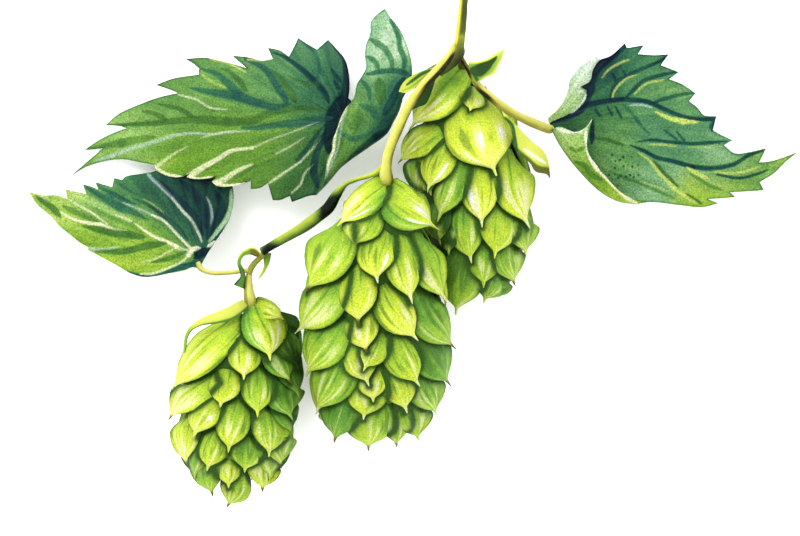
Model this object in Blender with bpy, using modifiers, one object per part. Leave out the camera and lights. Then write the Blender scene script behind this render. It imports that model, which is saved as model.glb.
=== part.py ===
# Hop bine: a cut sprig lying on a surface, with three cones, three leaves, their
# stalks and the small stipules at the nodes. Metres; +X and +Y along the surface, +Z up.
import math

import bmesh
import bpy
from mathutils import Vector
from mathutils.geometry import delaunay_2d_cdt

# ---------------------------------------------------------------- driving dimensions
MM = 0.001
LEAF_THICKNESS = 0.6 * MM
BRACT_THICKNESS = 0.6 * MM
LEAF_MESH_STEP = 4.0
STALK_SIDES = 2
CONE_RINGS = 36
CONE_SEGMENTS = 24
BRACTS_PER_TIER = 6
BRACT_RELIEF = 0.09
NEIGHBOUR_GAP = 0.5

for item in list(bpy.data.objects):
    bpy.data.objects.remove(item, do_unlink=True)

collection = bpy.data.collections.new("hop_bine")
bpy.context.scene.collection.children.link(collection)


def colour(name, rgb, roughness):
    material = bpy.data.materials.new(name)
    material.use_nodes = True
    surface = material.node_tree.nodes["Principled BSDF"]
    surface.inputs["Base Color"].default_value = (rgb[0], rgb[1], rgb[2], 1.0)
    surface.inputs["Roughness"].default_value = roughness
    return material


def place(name, data, material):
    thing = bpy.data.objects.new(name, data)
    data.materials.append(material)
    collection.objects.link(thing)
    return thing


def stalk(name, knots, material):
    """A round stem through knots of (x, y, z, radius) in millimetres."""
    data = bpy.data.curves.new(name, "CURVE")
    data.dimensions = "3D"
    data.bevel_depth = MM
    data.bevel_resolution = STALK_SIDES
    data.use_fill_caps = True
    data.resolution_u = 3
    spline = data.splines.new("BEZIER")
    spline.bezier_points.add(len(knots) - 1)
    for point, (x, y, z, radius) in zip(spline.bezier_points, knots):
        point.co = (x * MM, y * MM, z * MM)
        point.radius = radius
        point.handle_left_type = "AUTO"
        point.handle_right_type = "AUTO"
    return place(name, data, material)


def inside(point, outline):
    x, y = point
    hit = False
    for (ax, ay), (bx, by) in zip(outline, outline[1:] + outline[:1]):
        if (ay > y) != (by > y) and x < ax + (y - ay) * (bx - ax) / (by - ay):
            hit = not hit
    return hit


def distance_to(point, line, closed):
    p = Vector(point)
    ends = line[1:] + line[:1] if closed else line[1:]
    best = 1e9
    for a, b in zip(line, ends):
        a = Vector(a)
        b = Vector(b)
        run = b - a
        t = max(0.0, min(1.0, (p - a).dot(run) / run.length_squared))
        best = min(best, (a + run * t - p).length)
    return best


def fill(outline, step, extra=()):
    """Triangles covering a closed outline, with a scatter of points inside it."""
    xs = [p[0] for p in outline]
    ys = [p[1] for p in outline]
    points = [p for p in extra if inside(p, outline)]
    rows = int((max(ys) - min(ys)) / (step * 0.87)) + 1
    columns = int((max(xs) - min(xs)) / step) + 1
    for row in range(rows):
        for column in range(columns):
            x = min(xs) + (column + 0.5 * (row % 2)) * step
            y = min(ys) + (row + 0.5) * step * 0.87
            if not inside((x, y), outline):
                continue
            if distance_to((x, y), outline, True) < 0.4 * step:
                continue
            if all((Vector(e) - Vector((x, y))).length > 0.6 * step for e in extra):
                points.append((x, y))
    count = len(outline)
    flat = [Vector(p) for p in list(outline) + points]
    edges = [(i, (i + 1) % count) for i in range(count)]
    corners, _, triangles, _, _, _ = delaunay_2d_cdt(flat, edges, [], 1, 1e-5)
    return [(p.x, p.y) for p in corners], [tuple(t) for t in triangles]


def shell(name, corners, triangles, thickness, material):
    """A thin closed shell around an open surface of (x, y, z) corners in millimetres."""
    data = bpy.data.meshes.new(name)
    data.from_pydata([(x * MM, y * MM, z * MM) for x, y, z in corners], [], triangles)
    work = bmesh.new()
    work.from_mesh(data)
    bmesh.ops.remove_doubles(work, verts=work.verts, dist=0.01 * MM)
    bmesh.ops.recalc_face_normals(work, faces=work.faces)
    work.to_mesh(data)
    work.free()
    thing = place(name, data, material)
    solid = thing.modifiers.new("thickness", "SOLIDIFY")
    solid.thickness = thickness
    solid.offset = 0.0
    return thing


def leaf(name, outline, height, step, thickness, material):
    corners, triangles = fill(outline, step)
    lifted = [(x, y, height(x, y)) for x, y in corners]
    return shell(name, lifted, triangles, thickness, material)


def beside(line, offset):
    """Points a little to one side of a line, used as extra rows along a fold."""
    rows = []
    for a, b in zip(line, line[1:]):
        a = Vector(a)
        b = Vector(b)
        run = (b - a).normalized()
        side = Vector((-run.y, run.x)) * offset
        rows.append(tuple((a + b) / 2 + side))
    return rows


def folded_leaf(name, blade, flap, fold, low, high, bend, material):
    """A blade and the lobe folded over it, joined along the rounded fold line."""
    rows = []
    for offset in (0.7, -0.7, 2.2, -2.2):
        rows += beside(fold, offset)
    corners = []
    triangles = []
    for outline, surface, sign in ((blade, low, -1.0), (flap, high, 1.0)):
        flat, faces = fill(outline, LEAF_MESH_STEP, rows)
        start = len(corners)
        for x, y in flat:
            near = min(1.0, distance_to((x, y), fold, False) / bend)
            middle = 0.5 * (low(x, y) + high(x, y))
            rise = math.sqrt(max(0.0, 1.0 - (1.0 - near) ** 2))
            corners.append((x, y, middle + rise * (surface(x, y) - middle)))
        order = 1 if sign < 0 else -1
        for face in faces:
            triangles.append(tuple(start + i for i in face[::order]))
    return shell(name, corners, triangles, LEAF_THICKNESS, material)


def strip(name, knots, thickness, material):
    """A narrow ribbon through knots of (x, y, z, half width), lying nearly flat."""
    corners = []
    for i, (x, y, z, half) in enumerate(knots):
        ahead = knots[min(i + 1, len(knots) - 1)]
        behind = knots[max(i - 1, 0)]
        run = Vector((ahead[0] - behind[0], ahead[1] - behind[1])).normalized()
        corners.append((x - run.y * half, y + run.x * half, z))
        corners.append((x + run.y * half, y - run.x * half, z))
    faces = [(2 * i, 2 * i + 1, 2 * i + 3, 2 * i + 2) for i in range(len(knots) - 1)]
    return shell(name, corners, faces, thickness, material)


def blend(table, key):
    """Smooth value from a short list of (key, value) stations in rising key order."""
    if key <= table[0][0]:
        return table[0][1]
    for (k0, v0), (k1, v1) in zip(table, table[1:]):
        if key <= k1:
            t = (key - k0) / (k1 - k0)
            return v0 + (v1 - v0) * t
    return table[-1][1]


def envelope(cone, y):
    """Middle of the cone and its half width at a station, or None past its ends."""
    if not cone["tip"] < y < cone["head"]:
        return None
    width = blend(cone["width"], y)
    return blend(cone["middle"], y), blend(cone["level"], y), width, width * cone["depth"]


def clear_of(x, y, z, others):
    for cone in others:
        here = envelope(cone, y)
        if here is None:
            continue
        cx, cz, a, b = here
        a = a * (1.0 + BRACT_RELIEF) + NEIGHBOUR_GAP
        b = b * (1.0 + BRACT_RELIEF) + NEIGHBOUR_GAP
        if ((x - cx) / a) ** 2 + ((z - cz) / b) ** 2 < 1.0:
            return False
    return True


def relief(share, turn, tiers):
    """How far a bract stands proud of the cone: rising to a point at each tip."""
    best = 0.0
    pitch = 1.0 / tiers
    for tier in range(-1, tiers + 1):
        tip = (tier + 1.2) * pitch
        v = (share - (tip - 2.0 * pitch)) / (2.0 * pitch)
        if not 0.0 <= v <= 1.0:
            continue
        shift = 0.5 * (tier % 2)
        across = (turn * BRACTS_PER_TIER + shift) % 1.0 - 0.5
        half = 0.56 * (1.0 - v ** 3)
        if abs(across) < half:
            best = max(best, v * (1.0 - 0.5 * (across / half) ** 2))
    return best


def hop_cone(name, cone, others, material):
    """A closed body of overlapping bracts, lofted ring by ring along the cone."""
    work = bmesh.new()
    rings = []
    for i in range(CONE_RINGS + 1):
        share = i / CONE_RINGS
        eased = 0.5 - 0.5 * math.cos(math.pi * share)
        share = 0.45 * share + 0.55 * eased
        y = cone["head"] + (cone["tip"] - cone["head"]) * share
        cx = blend(cone["middle"], y)
        cz = blend(cone["level"], y)
        a = blend(cone["width"], y)
        ring = []
        for j in range(CONE_SEGMENTS):
            turn = j / CONE_SEGMENTS
            proud = relief(share, turn, cone["tiers"])
            angle = 2.0 * math.pi * turn
            grow = 1.0 - BRACT_RELIEF + 2.0 * BRACT_RELIEF * proud
            x = a * grow * math.sin(angle)
            z = a * grow * cone["depth"] * math.cos(angle)
            keep = 1.0
            while keep > 0.1 and not clear_of(cx + x * keep, y, cz + z * keep, others):
                keep -= 0.02
            low = max(0.0, cz + z * keep)
            ring.append(work.verts.new(((cx + x * keep) * MM, y * MM, low * MM)))
        rings.append(ring)
    for upper, lower in zip(rings, rings[1:]):
        for j in range(CONE_SEGMENTS):
            k = (j + 1) % CONE_SEGMENTS
            work.faces.new((upper[j], upper[k], lower[k], lower[j]))
    work.faces.new(rings[0])
    work.faces.new(rings[-1][::-1])
    bmesh.ops.recalc_face_normals(work, faces=work.faces)
    data = bpy.data.meshes.new(name)
    work.to_mesh(data)
    work.free()
    return place(name, data, material)


# ---------------------------------------------------------------- stems and stalks
# The cut stem runs in from the +Y side to a swollen node. The lateral arches over the
# shoulder of one cone to the head of the middle cone; a side shoot carries the third.
stalk("bine_stem", [
    (10.1, 51.9, 17.0, 0.9), (9.8, 46.0, 17.6, 0.95), (9.3, 41.6, 18.6, 1.1),
    (9.1, 39.4, 19.3, 1.5), (9.2, 37.9, 19.5, 1.3)], colour("stem", (0.42, 0.47, 0.06), 0.5))
stalk("lateral_stem", [
    (6.9, 37.6, 20.9, 1.0), (4.6, 34.9, 22.3, 1.2), (0.5, 30.6, 23.8, 1.2),
    (-2.6, 25.6, 25.4, 1.1), (-4.6, 20.5, 27.0, 1.0), (-5.5, 16.6, 28.0, 1.1),
    (-5.4, 13.6, 28.2, 1.7)], colour("lateral", (0.62, 0.68, 0.12), 0.5))
stalk("side_shoot", [
    (-7.3, 14.9, 27.6, 0.7), (-10.7, 13.7, 27.0, 0.5), (-13.9, 12.2, 26.2, 0.6),
    (-17.3, 7.9, 23.6, 1.0), (-21.7, 4.2, 20.5, 1.1), (-26.7, 1.3, 18.0, 0.9),
    (-30.0, -0.6, 16.6, 0.9)], colour("side_shoot", (0.30, 0.38, 0.06), 0.5))
stalk("pedicel_left", [
    (-31.1, -1.9, 15.9, 0.7), (-32.6, -4.2, 15.5, 0.75), (-33.0, -6.8, 15.3, 0.75),
    (-32.7, -10.2, 15.2, 1.3)], colour("pedicel_left", (0.60, 0.66, 0.14), 0.5))
stalk("pedicel_right", [
    (9.4, 37.6, 17.4, 0.7), (9.7, 36.9, 15.2, 0.9)], colour("pedicel_right", (0.4, 0.5, 0.1), 0.5))
stalk("petiole_right", [
    (11.3, 35.2, 18.8, 0.6), (12.9, 32.2, 20.5, 0.7), (15.2, 30.2, 20.6, 0.7),
    (17.4, 28.4, 20.0, 0.8), (22.3, 25.6, 16.6, 0.8), (26.7, 24.1, 12.4, 0.8)], colour("petiole_right", (0.5, 0.46, 0.1), 0.5))
stalk("petiole_upper_left", [
    (6.9, 37.5, 18.0, 0.7), (2.4, 34.7, 16.4, 0.7), (-3.5, 31.4, 13.6, 0.7),
    (-9.0, 29.0, 12.3, 0.7), (-14.6, 26.6, 12.2, 0.7)], colour("petiole_upper", (0.3, 0.4, 0.1), 0.5))
stalk("petiole_lower_left", [
    (-34.2, -4.7, 15.4, 0.45), (-36.6, -5.0, 14.7, 0.42), (-39.6, -5.1, 13.4, 0.42),
    (-42.4, -4.4, 12.0, 0.45)], colour("petiole_lower", (0.62, 0.58, 0.08), 0.5))


# ---------------------------------------------------------------- leaves
# Toothed, bent shells. The upper-left blade has its near lobe folded over it, and the
# right blade has its lower edge folded over; both droop until their teeth rest on +Z=0.
def upper_low(x, y):
    r = math.hypot(x + 15.5, y - 26.3)
    tips = 14.6 - 0.0062 * r * r + 0.02 * r
    top = max(0.0, y - 31.0)
    return max(0.3, tips - 0.085 * top * top)


def upper_high(x, y):
    return 18.4 + 0.02 * (y - 26.0)


UPPER_FOLD = [
    (-19.5, 10.5), (-16.7, 13.5), (-14.7, 15.9), (-12.7, 17.5), (-8.7, 20.3),
    (-5.3, 22.9), (-3.1, 27.0), (-2.3, 29.5)]
UPPER_BLADE = UPPER_FOLD + [
    (-5.7, 30.3), (-9.7, 29.1), (-13.0, 29.0), (-12.8, 32.5), (-13.5, 37.3), (-15.1, 39.3),
    (-17.1, 41.5), (-19.3, 39.5), (-23.1, 41.9), (-24.9, 38.1), (-29.1, 39.9),
    (-28.1, 37.7), (-36.1, 38.3), (-33.1, 35.7), (-38.7, 37.3), (-45.5, 37.7),
    (-42.9, 34.5), (-48.3, 33.7), (-51.5, 32.5), (-47.1, 30.9), (-54.7, 28.7),
    (-61.7, 24.5), (-57.3, 23.9), (-66.1, 19.5), (-62.1, 19.9), (-68.5, 14.5),
    (-62.7, 17.1), (-58.3, 17.7), (-51.7, 16.2), (-47.7, 14.1), (-44.9, 13.9),
    (-39.9, 13.7), (-38.6, 12.3), (-33.0, 13.1), (-32.5, 11.7), (-29.1, 12.9),
    (-28.1, 9.5), (-24.8, 10.3), (-24.3, 9.1)]
UPPER_FLAP = UPPER_FOLD + [
    (-0.5, 33.0), (-0.3, 35.9), (-1.7, 41.5), (-4.7, 46.1), (-5.7, 47.7), (-8.5, 45.1),
    (-8.7, 42.5), (-9.7, 38.1), (-9.5, 35.9), (-11.3, 32.5), (-11.9, 29.9),
    (-13.7, 27.5), (-15.3, 23.5), (-16.3, 19.3), (-17.5, 15.9), (-18.3, 12.3)]
folded_leaf("leaf_upper_left", UPPER_BLADE, UPPER_FLAP, UPPER_FOLD, upper_low, upper_high,
            2.6, colour("leaf_upper_left", (0.10, 0.24, 0.07), 0.55))


def lower_height(x, y):
    r = math.hypot(x + 41.5, y)
    return max(0.3, 11.3 - 0.16 * r - 0.0062 * r * r)


leaf("leaf_lower_left", [
    (-43.1, -4.0), (-42.1, -2.8), (-40.1, 0.5), (-38.3, 3.1), (-36.9, 5.5), (-36.1, 8.5),
    (-36.1, 11.5), (-37.3, 13.9), (-41.0, 15.6), (-46.0, 16.3), (-52.3, 15.1),
    (-57.9, 13.9), (-59.9, 13.9), (-60.3, 12.1), (-63.7, 13.1), (-63.1, 11.5),
    (-66.3, 12.7), (-65.5, 10.7), (-69.7, 11.7), (-69.3, 9.8), (-72.0, 10.6),
    (-76.7, 10.9), (-75.7, 8.9), (-72.1, 5.7), (-68.7, 2.5), (-65.1, -0.5),
    (-59.1, -3.7), (-56.7, -5.1), (-53.7, -5.9), (-48.7, -5.1)], lower_height,
    LEAF_MESH_STEP, LEAF_THICKNESS, colour("leaf_lower_left", (0.16, 0.30, 0.06), 0.55))


def right_low(x, y):
    r = math.hypot(x - 27.0, y - 24.5)
    return max(0.3, 10.6 - 0.07 * r - 0.0036 * r * r)


def right_high(x, y):
    return right_low(x, y) + 4.4 - 0.07 * math.hypot(x - 27.0, y - 24.5)


RIGHT_FOLD = [
    (27.6, 23.4), (29.3, 20.5), (31.7, 17.1), (34.3, 14.1), (37.3, 11.3), (40.9, 9.3),
    (44.7, 8.7)]
RIGHT_BLADE = RIGHT_FOLD + [
    (47.3, 9.1), (53.3, 8.5), (57.9, 8.1), (61.1, 8.9), (58.9, 9.7), (64.5, 10.1),
    (63.3, 11.1), (70.3, 11.5), (69.3, 13.1), (74.3, 16.5), (76.7, 18.9), (69.1, 16.9),
    (70.7, 19.9), (64.3, 18.9), (62.1, 20.5), (63.9, 21.5), (59.9, 23.5), (60.7, 26.3),
    (58.1, 26.5), (55.1, 29.3), (56.5, 30.9), (51.1, 33.7), (53.1, 35.1), (49.5, 36.5),
    (51.1, 38.7), (44.9, 38.7), (46.1, 40.5), (42.7, 39.9), (42.3, 40.9), (39.3, 38.3),
    (36.9, 38.3), (32.5, 35.3), (30.9, 31.5), (29.3, 28.2), (27.0, 25.6)]
RIGHT_FLAP = RIGHT_FOLD + [
    (42.9, 10.2), (40.3, 12.4), (38.3, 14.6), (36.7, 16.6), (35.1, 18.5), (34.6, 20.8),
    (35.7, 25.5), (34.0, 23.8), (32.3, 23.3), (29.7, 24.1)]
folded_leaf("leaf_right", RIGHT_BLADE, RIGHT_FLAP, RIGHT_FOLD, right_low, right_high,
            2.4, colour("leaf_right", (0.12, 0.28, 0.09), 0.55))

# ---------------------------------------------------------------- cones
# Stations run along Y from the tip to the head: middle across X, level above the
# surface, and half width. The middle cone leans on the shoulder of the right one.
MIDDLE = {
    "head": 12.6, "tip": -40.5, "tiers": 9, "depth": 0.93,
    "middle": [(-40.5, -8.9), (-30.5, -7.4), (1.5, -7.5), (9.0, -6.2), (12.6, -5.3)],
    "level": [(-40.5, 10.0), (-34.5, 12.2), (-26.5, 14.6), (-16.5, 17.4), (-5.0, 21.0),
              (3.5, 24.4), (12.6, 27.6)],
    "width": [(-40.5, 1.0), (-38.5, 7.2), (-34.5, 10.9), (-30.5, 13.1), (-26.5, 14.4),
              (-22.5, 15.1), (-16.5, 15.3), (-10.5, 14.9), (-2.5, 14.1), (1.5, 13.1),
              (5.5, 10.9), (9.5, 8.8), (11.5, 6.0), (12.6, 2.6)]}
LEFT = {
    "head": -10.8, "tip": -51.9, "tiers": 8, "depth": 0.95,
    "middle": [(-51.9, -36.9), (-42.5, -35.9), (-28.5, -35.2), (-20.0, -34.6), (-10.8, -32.7)],
    "level": [(-51.9, 8.0), (-42.5, 11.3), (-34.5, 12.6), (-24.5, 12.7), (-10.8, 15.2)],
    "width": [(-51.9, 0.8), (-49.5, 4.2), (-46.5, 6.9), (-42.5, 9.9), (-38.5, 12.1),
              (-34.5, 12.7), (-28.5, 12.9), (-24.5, 12.4), (-21.5, 11.4), (-17.5, 9.2),
              (-13.5, 6.2), (-10.8, 1.9)]}
RIGHT = {
    "head": 36.4, "tip": -13.3, "tiers": 8, "depth": 0.92,
    "middle": [(-13.3, 10.9), (-4.5, 11.9), (3.5, 12.1), (11.5, 11.4), (19.5, 10.9), (36.4, 9.8)],
    "level": [(-13.3, 8.0), (-4.5, 10.3), (3.5, 11.8), (11.5, 12.3), (28.0, 12.2), (36.4, 13.6)],
    "width": [(-13.3, 1.6), (-10.5, 5.4), (-4.5, 9.4), (3.5, 12.4), (11.5, 13.0),
              (19.5, 12.1), (25.5, 10.4), (29.5, 8.6), (33.5, 5.6), (36.4, 1.8)]}
hop_cone("cone_middle", MIDDLE, [], colour("cone_middle", (0.46, 0.60, 0.08), 0.6))
hop_cone("cone_left", LEFT, [MIDDLE], colour("cone_left", (0.42, 0.58, 0.08), 0.6))
hop_cone("cone_right", RIGHT, [MIDDLE], colour("cone_right", (0.44, 0.60, 0.10), 0.6))
stalk("cone_left_horn_bract", [
    (-35.3, -11.2, 19.2, 0.7), (-39.2, -13.4, 20.2, 0.8), (-42.6, -14.8, 19.8, 0.6),
    (-44.9, -16.9, 18.4, 0.45), (-45.8, -20.4, 17.4, 0.35)], colour("horn", (0.4, 0.55, 0.1), 0.6))
leaf("cone_right_wing_bract", [
    (19.0, 26.6), (22.5, 22.5), (25.7, 19.2), (27.0, 16.4), (27.3, 13.7), (25.6, 15.3),
    (24.6, 17.2), (22.4, 19.4), (20.6, 21.6), (19.2, 24.0)],
    lambda x, y: 21.4 - 0.8 * (x - 19.0), 3.0, BRACT_THICKNESS,
    colour("wing", (0.5, 0.62, 0.1), 0.6))


# ---------------------------------------------------------------- stipules
# Small pointed pieces: two at the main node with a shaded one behind the lateral, and
# a hanging one and a curled ribbon at the node above the left cone.
leaf("stipule_node_left", [
    (4.4, 36.1), (2.9, 35.7), (0.7, 35.1), (-1.1, 34.1), (-2.3, 32.9), (-2.9, 31.3),
    (-1.6, 30.9), (-0.2, 31.6), (1.4, 33.0), (3.0, 34.5)],
    lambda x, y: 20.4 - 0.06 * (5.0 - x), 2.5, BRACT_THICKNESS, colour("stipule_a", (0.4, 0.5, 0.1), 0.6))
leaf("stipule_node_right", [
    (11.4, 36.6), (12.6, 37.0), (14.7, 37.9), (18.3, 39.7), (17.3, 37.1), (16.1, 34.9),
    (14.3, 33.5), (12.9, 33.0), (12.0, 34.6)],
    lambda x, y: 21.8 + 0.12 * (x - 11.0), 2.5, BRACT_THICKNESS, colour("stipule_b", (0.3, 0.45, 0.1), 0.6))
leaf("stipule_node_inner", [
    (6.6, 35.6), (5.5, 35.0), (4.5, 33.5), (3.6, 30.5), (2.4, 28.4), (-0.1, 27.5),
    (1.3, 29.9), (3.4, 33.0), (5.0, 35.0), (6.0, 36.0)],
    lambda x, y: 19.2 + 0.10 * (6.0 - x), 2.5, BRACT_THICKNESS, colour("stipule_c", (0.05, 0.08, 0.03), 0.6))
leaf("stipule_hanging", [
    (-28.3, -1.3), (-28.7, -2.9), (-29.5, -4.9), (-31.3, -6.5), (-30.3, -5.1),
    (-30.0, -4.1), (-29.9, -2.9), (-29.4, -1.8)],
    lambda x, y: 14.7 + 0.1 * (y + 6.5), 1.6, BRACT_THICKNESS * 0.6, colour("stipule_d", (0.5, 0.62, 0.2), 0.6))
strip("stipule_curled", [
    (-31.5, -1.1, 17.6, 0.5), (-32.3, -0.5, 17.8, 0.55), (-33.3, -0.3, 17.8, 0.5),
    (-34.3, -1.0, 17.6, 0.45), (-34.8, -2.2, 17.4, 0.4), (-34.8, -3.3, 17.2, 0.4),
    (-34.5, -4.4, 17.0, 0.4), (-34.3, -5.6, 16.8, 0.45), (-34.4, -6.6, 16.7, 0.6),
    (-34.7, -7.6, 16.6, 0.95)], 0.35 * MM, colour("stipule_e", (0.2, 0.35, 0.08), 0.6))
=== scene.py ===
import math

import bpy
import numpy as np
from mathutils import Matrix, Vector
from mathutils.geometry import delaunay_2d_cdt
from mathutils.kdtree import KDTree


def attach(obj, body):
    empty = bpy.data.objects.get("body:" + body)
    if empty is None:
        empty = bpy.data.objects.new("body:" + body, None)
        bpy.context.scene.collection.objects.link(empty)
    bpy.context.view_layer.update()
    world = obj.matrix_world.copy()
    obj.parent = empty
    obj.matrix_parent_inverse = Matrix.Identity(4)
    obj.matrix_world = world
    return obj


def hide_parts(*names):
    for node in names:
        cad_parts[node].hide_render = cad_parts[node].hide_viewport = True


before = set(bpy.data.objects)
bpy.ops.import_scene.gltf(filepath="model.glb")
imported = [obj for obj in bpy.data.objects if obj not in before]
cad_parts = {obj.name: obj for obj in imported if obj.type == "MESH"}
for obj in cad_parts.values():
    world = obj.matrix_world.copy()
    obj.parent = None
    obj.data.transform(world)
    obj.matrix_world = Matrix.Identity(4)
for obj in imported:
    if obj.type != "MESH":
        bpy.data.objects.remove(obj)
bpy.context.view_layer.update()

# ---------------------------------------------------------------- bine stem
# The cut main stem of the bine: a young, slightly ribbed green stem, painted yellow for light
# on its left side and darker for shade on its right, that swells into a brown node where the lateral and
# the leaf stalk leave it.
MM = 0.001
SHARP_EDGE = 62.0


def tint(red, green, blue):
    """A display colour, 0 to 255 a channel, as the linear colour a shader takes."""
    linear = []
    for channel in (red, green, blue):
        c = channel / 255.0
        linear.append(c / 12.92 if c <= 0.04045 else ((c + 0.055) / 1.055) ** 2.4)
    return (*linear, 1.0)


def grown(name, corners, faces, fields, finish, slot, *nodes):
    """A closed smooth mesh from corners in millimetres, in place of its frame nodes."""
    data = bpy.data.meshes.new(name)
    data.from_pydata((np.asarray(corners) * MM).tolist(), [], faces)
    for field, values in fields.items():
        layer = data.attributes.new(field, "FLOAT", "POINT")
        layer.data.foreach_set("value", np.asarray(values, dtype=np.float32))
    data.shade_smooth()
    data.set_sharp_from_angle(angle=math.radians(SHARP_EDGE))
    data.materials.append(finish)
    piece = bpy.data.objects.new(name, data)
    bpy.context.scene.collection.objects.link(piece)
    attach(piece, "root")
    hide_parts(*nodes)


def smooth_path(knots, steps):
    """Points of a smooth curve through the knots, a few steps to each span."""
    k = np.asarray(knots, dtype=float)
    k = np.vstack([2 * k[0] - k[1], k, 2 * k[-1] - k[-2]])
    points = []
    for i in range(1, len(k) - 2):
        for step in range(steps):
            t = step / steps
            points.append(0.5 * (2 * k[i] + (k[i + 1] - k[i - 1]) * t
                                 + (2 * k[i - 1] - 5 * k[i] + 4 * k[i + 1] - k[i + 2]) * t * t
                                 + (3 * k[i] - k[i - 1] - 3 * k[i + 1] + k[i + 2]) * t ** 3))
    points.append(k[-2])
    return np.array(points)


def stalk_mesh(knots, sides=24, steps=10, ribs=6.0, rib_depth=0.04, twist=0.25, end_bulge=0.12):
    """A ribbed round stalk through (x, y, z, radius) knots: corners, faces, side, along."""
    path = smooth_path(knots, steps)
    centre = path[:, :3]
    run = np.gradient(centre, axis=0)
    run /= np.linalg.norm(run, axis=1)[:, None]
    flat = np.cross(run, (0.0, 0.0, 1.0))
    flat /= np.linalg.norm(flat, axis=1)[:, None]
    top = np.cross(flat, run)
    corners, side, along = [], [], []
    for i, point in enumerate(path):
        for j in range(sides):
            turn = 2.0 * math.pi * j / sides
            swell = point[3] * (1.0 + rib_depth * math.cos(ribs * turn + twist * i))
            away = flat[i] * math.cos(turn) + top[i] * math.sin(turn)
            corners.append(centre[i] + away * swell)
            side.append(math.cos(turn))
            along.append(i / (len(path) - 1))
    faces = []
    for i in range(len(path) - 1):
        for j in range(sides):
            k = (j + 1) % sides
            faces.append((i * sides + j, (i + 1) * sides + j, (i + 1) * sides + k, i * sides + k))
    for ring, order in ((0, 1), (len(path) - 1, -1)):
        tip = len(corners)
        corners.append(centre[ring] - run[ring] * (end_bulge * path[ring, 3] * order))
        side.append(0.0)
        along.append(ring / (len(path) - 1))
        for j in range(sides):
            k = (j + 1) % sides
            pair = (ring * sides + j, ring * sides + k)
            faces.append((*pair[::order], tip))
    return np.array(corners), faces, np.array(side), np.array(along)


def ramp_of(tree, driver, stops):
    """A colour ramp node driven by a socket, with (position, colour) stops."""
    ramp = tree.nodes.new("ShaderNodeValToRGB")
    marks = ramp.color_ramp.elements
    while len(marks) < len(stops):
        marks.new(0.5)
    for mark, (position, colour) in zip(marks, stops):
        mark.position = position
        mark.color = colour
    tree.links.new(driver, ramp.inputs["Fac"])
    return ramp.outputs["Color"]


def field_of(tree, name):
    """The socket that reads one of a piece's own fields."""
    node = tree.nodes.new("ShaderNodeAttribute")
    node.attribute_type = "GEOMETRY"
    node.attribute_name = name
    return node.outputs["Fac"]


def maths(tree, operation, first, second):
    """A math node on two sockets or numbers."""
    node = tree.nodes.new("ShaderNodeMath")
    node.operation = operation
    for socket, value in zip(node.inputs, (first, second)):
        if isinstance(value, (int, float)):
            socket.default_value = value
        else:
            tree.links.new(value, socket)
    return node.outputs["Value"]


def plus(tree, first, *others):
    """The sum of sockets and numbers."""
    for other in others:
        first = maths(tree, "ADD", first, other)
    return first


def times(tree, first, *others):
    """The product of sockets and numbers."""
    for other in others:
        first = maths(tree, "MULTIPLY", first, other)
    return first


def less(tree, first, second):
    """One socket or number less another."""
    return maths(tree, "SUBTRACT", first, second)


def blended(tree, share, first, second, mode="MIX"):
    """A colour mix node; each input is a socket, or a colour or number."""
    node = tree.nodes.new("ShaderNodeMix")
    node.data_type = "RGBA"
    node.blend_type = mode
    share_in, first_in, second_in = node.inputs[0], node.inputs[6], node.inputs[7]
    for socket, value in ((share_in, share), (first_in, first), (second_in, second)):
        if isinstance(value, (int, float, tuple)):
            socket.default_value = value
        else:
            tree.links.new(value, socket)
    return node.outputs[2]


def rising(tree, value, start, end):
    """0 below the start, 1 past the end, and smooth between them."""
    node = tree.nodes.new("ShaderNodeMapRange")
    node.interpolation_type = "SMOOTHSTEP"
    tree.links.new(value, node.inputs["Value"])
    node.inputs["From Min"].default_value = start
    node.inputs["From Max"].default_value = end
    return node.outputs["Result"]


def grain_group():
    """Mottled plant tissue: fine and patchy variation, each spread about zero."""
    group = bpy.data.node_groups.new("tissue_grain", "ShaderNodeTree")
    outs = group.nodes.new("NodeGroupOutput")
    ins = group.nodes.new("NodeGroupInput")
    place = group.nodes.new("ShaderNodeTexCoord")
    for label in ("Fine", "Patches"):
        group.interface.new_socket(label + " Scale", in_out="INPUT", socket_type="NodeSocketFloat")
        group.interface.new_socket(label, in_out="OUTPUT", socket_type="NodeSocketFloat")
        cloud = group.nodes.new("ShaderNodeTexNoise")
        cloud.inputs["Detail"].default_value = 2.5
        cloud.inputs["Roughness"].default_value = 0.6
        group.links.new(place.outputs["Object"], cloud.inputs["Vector"])
        group.links.new(ins.outputs[label + " Scale"], cloud.inputs["Scale"])
        group.links.new(less(group, cloud.outputs["Fac"], 0.5), outs.inputs[label])
    return group


tissue_grain = grain_group()


def grained(tree, fine_scale, patch_scale):
    """The tissue grain's fine and patchy sockets in one material."""
    grain = tree.nodes.new("ShaderNodeGroup")
    grain.node_tree = tissue_grain
    grain.inputs["Fine Scale"].default_value = fine_scale
    grain.inputs["Patches Scale"].default_value = patch_scale
    return grain.outputs["Fine"], grain.outputs["Patches"]


def plant_finish(name, roughness):
    """A new plant material, its tree and its Principled shader."""
    finish = bpy.data.materials.new(name)
    finish.use_nodes = True
    shader = finish.node_tree.nodes["Principled BSDF"]
    shader.inputs["Roughness"].default_value = roughness
    shader.inputs["Specular IOR Level"].default_value = 0.05
    return finish, finish.node_tree, shader


TISSUE_LEVEL = 0.42
GLOSS_SPREAD = 0.3


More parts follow.
